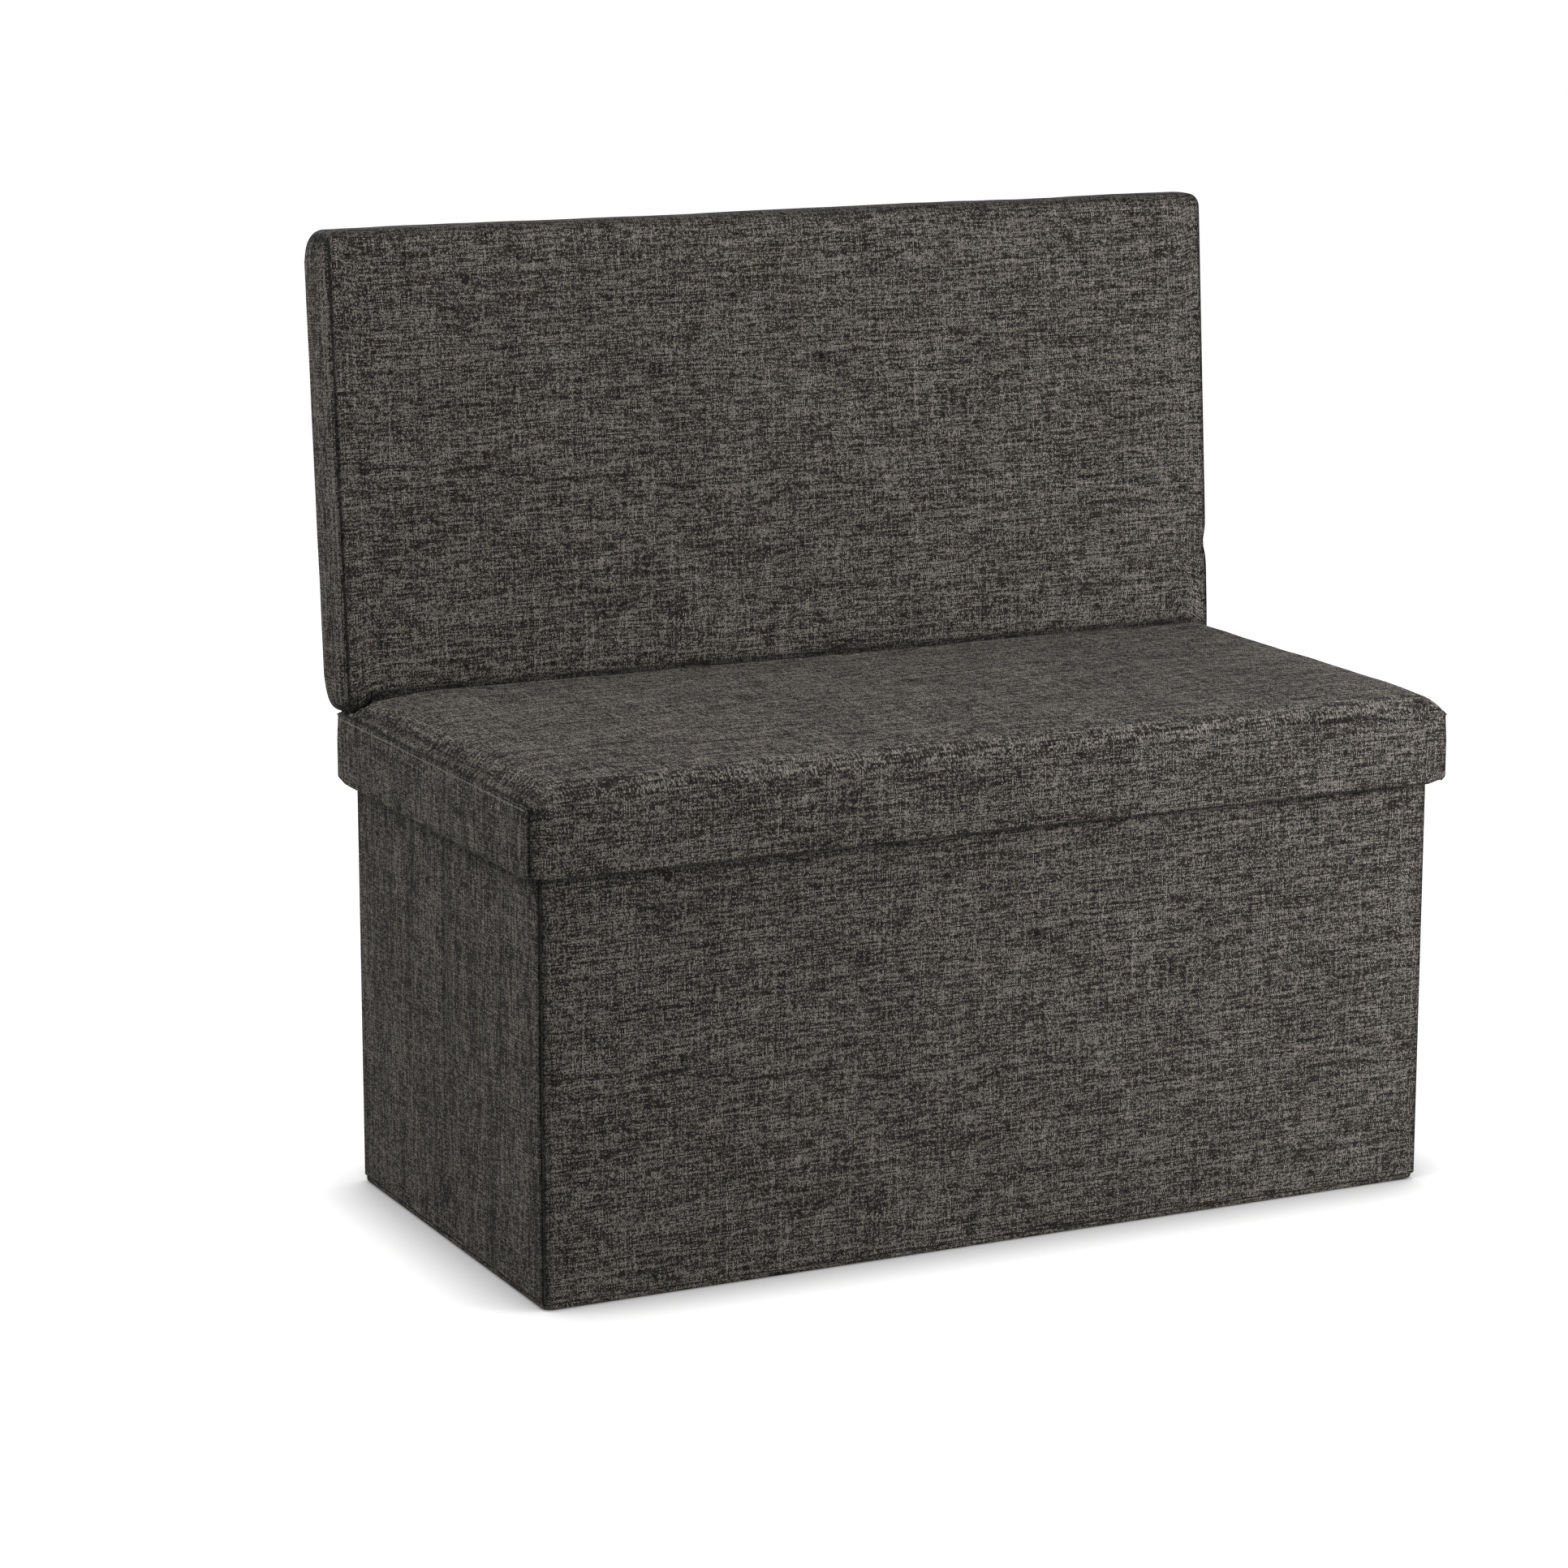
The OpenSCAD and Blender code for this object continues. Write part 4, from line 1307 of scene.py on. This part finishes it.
def makeWalls(looks):
    makeFullWall("backWall", "back_wall_cover", "base", 1, looks)
    makeFullWall("frontWall", "front_wall_cover", "front_wall", -1, looks)
    liningSheet("back_wall_lining", "base", (0, -1, 0), looks)
    liningSheet("front_wall_lining", "front_wall", (0, 1, 0), looks)
    for hand, side in (("left", -1), ("right", 1)):
        for part in ("rear", "front"):
            stem = hand + "_" + part
            makeHalfWall(hand + part.title() + "Wall", stem + "_cover", stem + "_half", side, looks)
            liningSheet(stem + "_lining", stem + "_half", (-side, 0, 0), looks)
        makeSideSkin(hand + "Side", side, looks)
    print("walls made")


floorPart = {
    "proud": 2.7 * mm,
    "corner": 9 * mm,
    "rimRadius": 0.3 * mm,
    "footRadius": 3.4 * mm,
    "clothHigh": 4.45 * mm,
    "lining": 0.6 * mm,
    "liningInset": 11 * mm,
    "recess": 0.14 * mm,
}


def ringRound(halfX, halfY, corner, inset, step):
    # Points of a rounded rectangle, drawn in by inset
    points = []
    for turn, (signX, signY) in enumerate(((1, -1), (1, 1), (-1, 1), (-1, -1))):
        centre = np.array((signX * (halfX - corner), signY * (halfY - corner)))
        r = max(corner - inset, 0.3 * mm)
        for angle in np.radians(np.linspace(-90, 0, 6) + 90 * turn):
            points.append(centre + r * np.array((math.cos(angle), math.sin(angle))))
        ahead = (halfX - corner) * 2 if turn % 2 else (halfY - corner) * 2
        way = np.array(((0, 1), (-1, 0), (0, -1), (1, 0))[turn])
        count = int(ahead / step)
        points += [points[-1] + way * ahead * share for share in np.linspace(0, 1, count + 1)[1:-1]]
    return np.array(points)


def makeFloor(looks):
    _, high = boxOf("floor_cover")
    proud, foot, rim = floorPart["proud"], floorPart["footRadius"], floorPart["rimRadius"]
    halfX, halfY, top = high[0] + proud, high[1] + proud, floorPart["clothHigh"]
    below, above = np.radians(np.linspace(0, 90, 7)), np.radians(np.linspace(0, 90, 4))
    profile = [(foot - foot * math.sin(t), foot - foot * math.cos(t)) for t in below]
    profile += [(rim - rim * math.cos(t), top - rim + rim * math.sin(t)) for t in above]
    profile += [(foot, top - floorPart["recess"])]
    rings = []
    for inset, z in profile:
        ring = ringRound(halfX, halfY, floorPart["corner"], inset, 12 * mm)
        rings.append(np.column_stack([ring, np.full(len(ring), z)]))
    count, first = len(rings[0]), len(rings) * len(rings[0])
    mapped = np.column_stack([np.tile(runAlong(rings[6]), len(rings)), np.repeat(runAlong(profile), count)])
    faces = []
    for i in range(len(rings) - 1):
        for j in range(count):
            k = (j + 1) % count
            faces.append((i * count + j, i * count + k, (i + 1) * count + k, (i + 1) * count + j))
    flat = np.vstack([rings[0], rings[-1]])
    points, mapped = np.vstack(rings + [flat]), np.vstack([mapped, flat[:, :2]])
    faces.append(tuple(range(first, first + count))[::-1])
    faces.append(tuple(range(first + count, first + 2 * count)))
    cloth = meshPiece("floorCloth", points, faces, mapped, looks["linen"])
    weld(cloth)
    faceAwayFrom(cloth, (0, 0, 2 * mm))
    fit(cloth, "base", "linen", "floor_cover", fill=1.0)
    inset = floorPart["liningInset"]
    inner = (inset - halfX, inset - halfY, high[2] - floorPart["lining"])
    outer = (-inner[0], -inner[1], high[2])
    sheet = roundedBlock("floorLining", inner, outer, looks["lining"], radius=0.25 * mm, step=12 * mm)
    fit(sheet, "base", "lining")
    print("floor made")


def dressBoards(material):
    for name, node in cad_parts.items():
        if name.endswith("_board"):
            node.data.materials.clear()
            node.data.materials.append(material)


# Studio: pale floor, one soft key from the right, weak fill, even surroundings
studio = {
    "floorHalf": 60,
    "floorColour": 0.4,
    # glowFrom, glowNear and glowFar set the floor's glow, from a painted contact shadow close by the bench to
    # near white further off
    "glowFrom": 0.4,
    "glowNear": 0.15,
    "glowFar": 0.97,
    "shadeReach": 80 * mm,
    "ambient": 0.08,
    "lamps": [
        ("key", (1.15, -1.2, 0.75), 0.8, 24.6),
        ("fill", (-1.83, 0.05, 1.94), 1.5, 20),
        ("top", (-0.6, -0.25, 1.9), 1.1, 7.6),
        ("rear", (0.7, 2.7, 1.3), 1.8, 14),
    ],
    "aim": (0, 0, 0.35),
}


def viewed(tree):
    # 1 on the rays that the camera follows, also through gloss and glass
    rays = newNode(tree, "ShaderNodeLightPath").outputs
    bounced = maths(tree, "MAXIMUM", rays["Is Glossy Ray"], rays["Is Transmission Ray"])
    return maths(tree, "MAXIMUM", rays["Is Camera Ray"], bounced)


def makeStudio():
    half = studio["floorHalf"]
    plane = bpy.data.meshes.new("studioFloor")
    corners = [(-half, -half, 0), (half, -half, 0), (half, half, 0), (-half, half, 0)]
    plane.from_pydata(corners, [], [(0, 1, 2, 3)])
    ground = bpy.data.objects.new("studioFloor", plane)
    bpy.context.scene.collection.objects.link(ground)
    material, tree, skin = newMaterial("paleFloor")
    skin.inputs["Base Color"].default_value = (studio["floorColour"],) * 3 + (1,)
    skin.inputs["Roughness"].default_value = 0.9
    skin.inputs["Specular IOR Level"].default_value = 0.1
    # Seen by the camera the floor glows, dimmed by ambient occlusion close by the bench: a painted contact
    # shadow
    near = newNode(tree, "ShaderNodeAmbientOcclusion", {"samples": 8}, Distance=studio["shadeReach"])
    fade = {"i1": studio["glowFrom"], "i2": 1.0, "i3": studio["glowNear"], "i4": studio["glowFar"]}
    glow = newNode(tree, "ShaderNodeMapRange", i0=near.outputs["AO"], **fade).outputs[0]
    skin.inputs["Emission Color"].default_value = (1, 1, 1, 1)
    tree.links.new(maths(tree, "MULTIPLY", glow, viewed(tree)), skin.inputs["Emission Strength"])
    plane.materials.append(material)

    world = bpy.data.worlds.new("studio")
    bpy.context.scene.world = world
    world.use_nodes = True
    tree = world.node_tree
    back = tree.nodes["Background"]
    back.inputs["Color"].default_value = (1, 1, 1, 1)
    level = mixed(tree, viewed(tree), studio["ambient"], 1.0)
    tree.links.new(level, back.inputs["Strength"])

    for name, place, size, power in studio["lamps"]:
        lamp = bpy.data.lights.new(name, "AREA")
        lamp.shape = "DISK"
        lamp.size = size
        lamp.energy = power
        stand = bpy.data.objects.new(name, lamp)
        stand.location = place
        way = Vector(studio["aim"]) - Vector(place)
        stand.rotation_euler = way.to_track_quat("-Z", "Y").to_euler()
        bpy.context.scene.collection.objects.link(stand)
    bpy.context.scene.view_settings.view_transform = "Standard"
    print("studio made")


def makeBench():
    makeCamera()
    weave, grain = makeLinenWeave(), makeGrain()
    looks = {
        "linen": makeLinen(weave),
        "lining": makePlainMaterial("lining", grain, liningLook),
        "board": makePlainMaterial("fibreboard", grain, boardLook),
        "foam": makePlainMaterial("foam", grain, foamLook),
        "thread": makePlainMaterial("thread", grain, threadLook),
    }
    makeLid(looks)
    makeBackrest(looks)
    makeWalls(looks)
    makeFloor(looks)
    dressBoards(looks["board"])
    makeStudio()


makeBench()
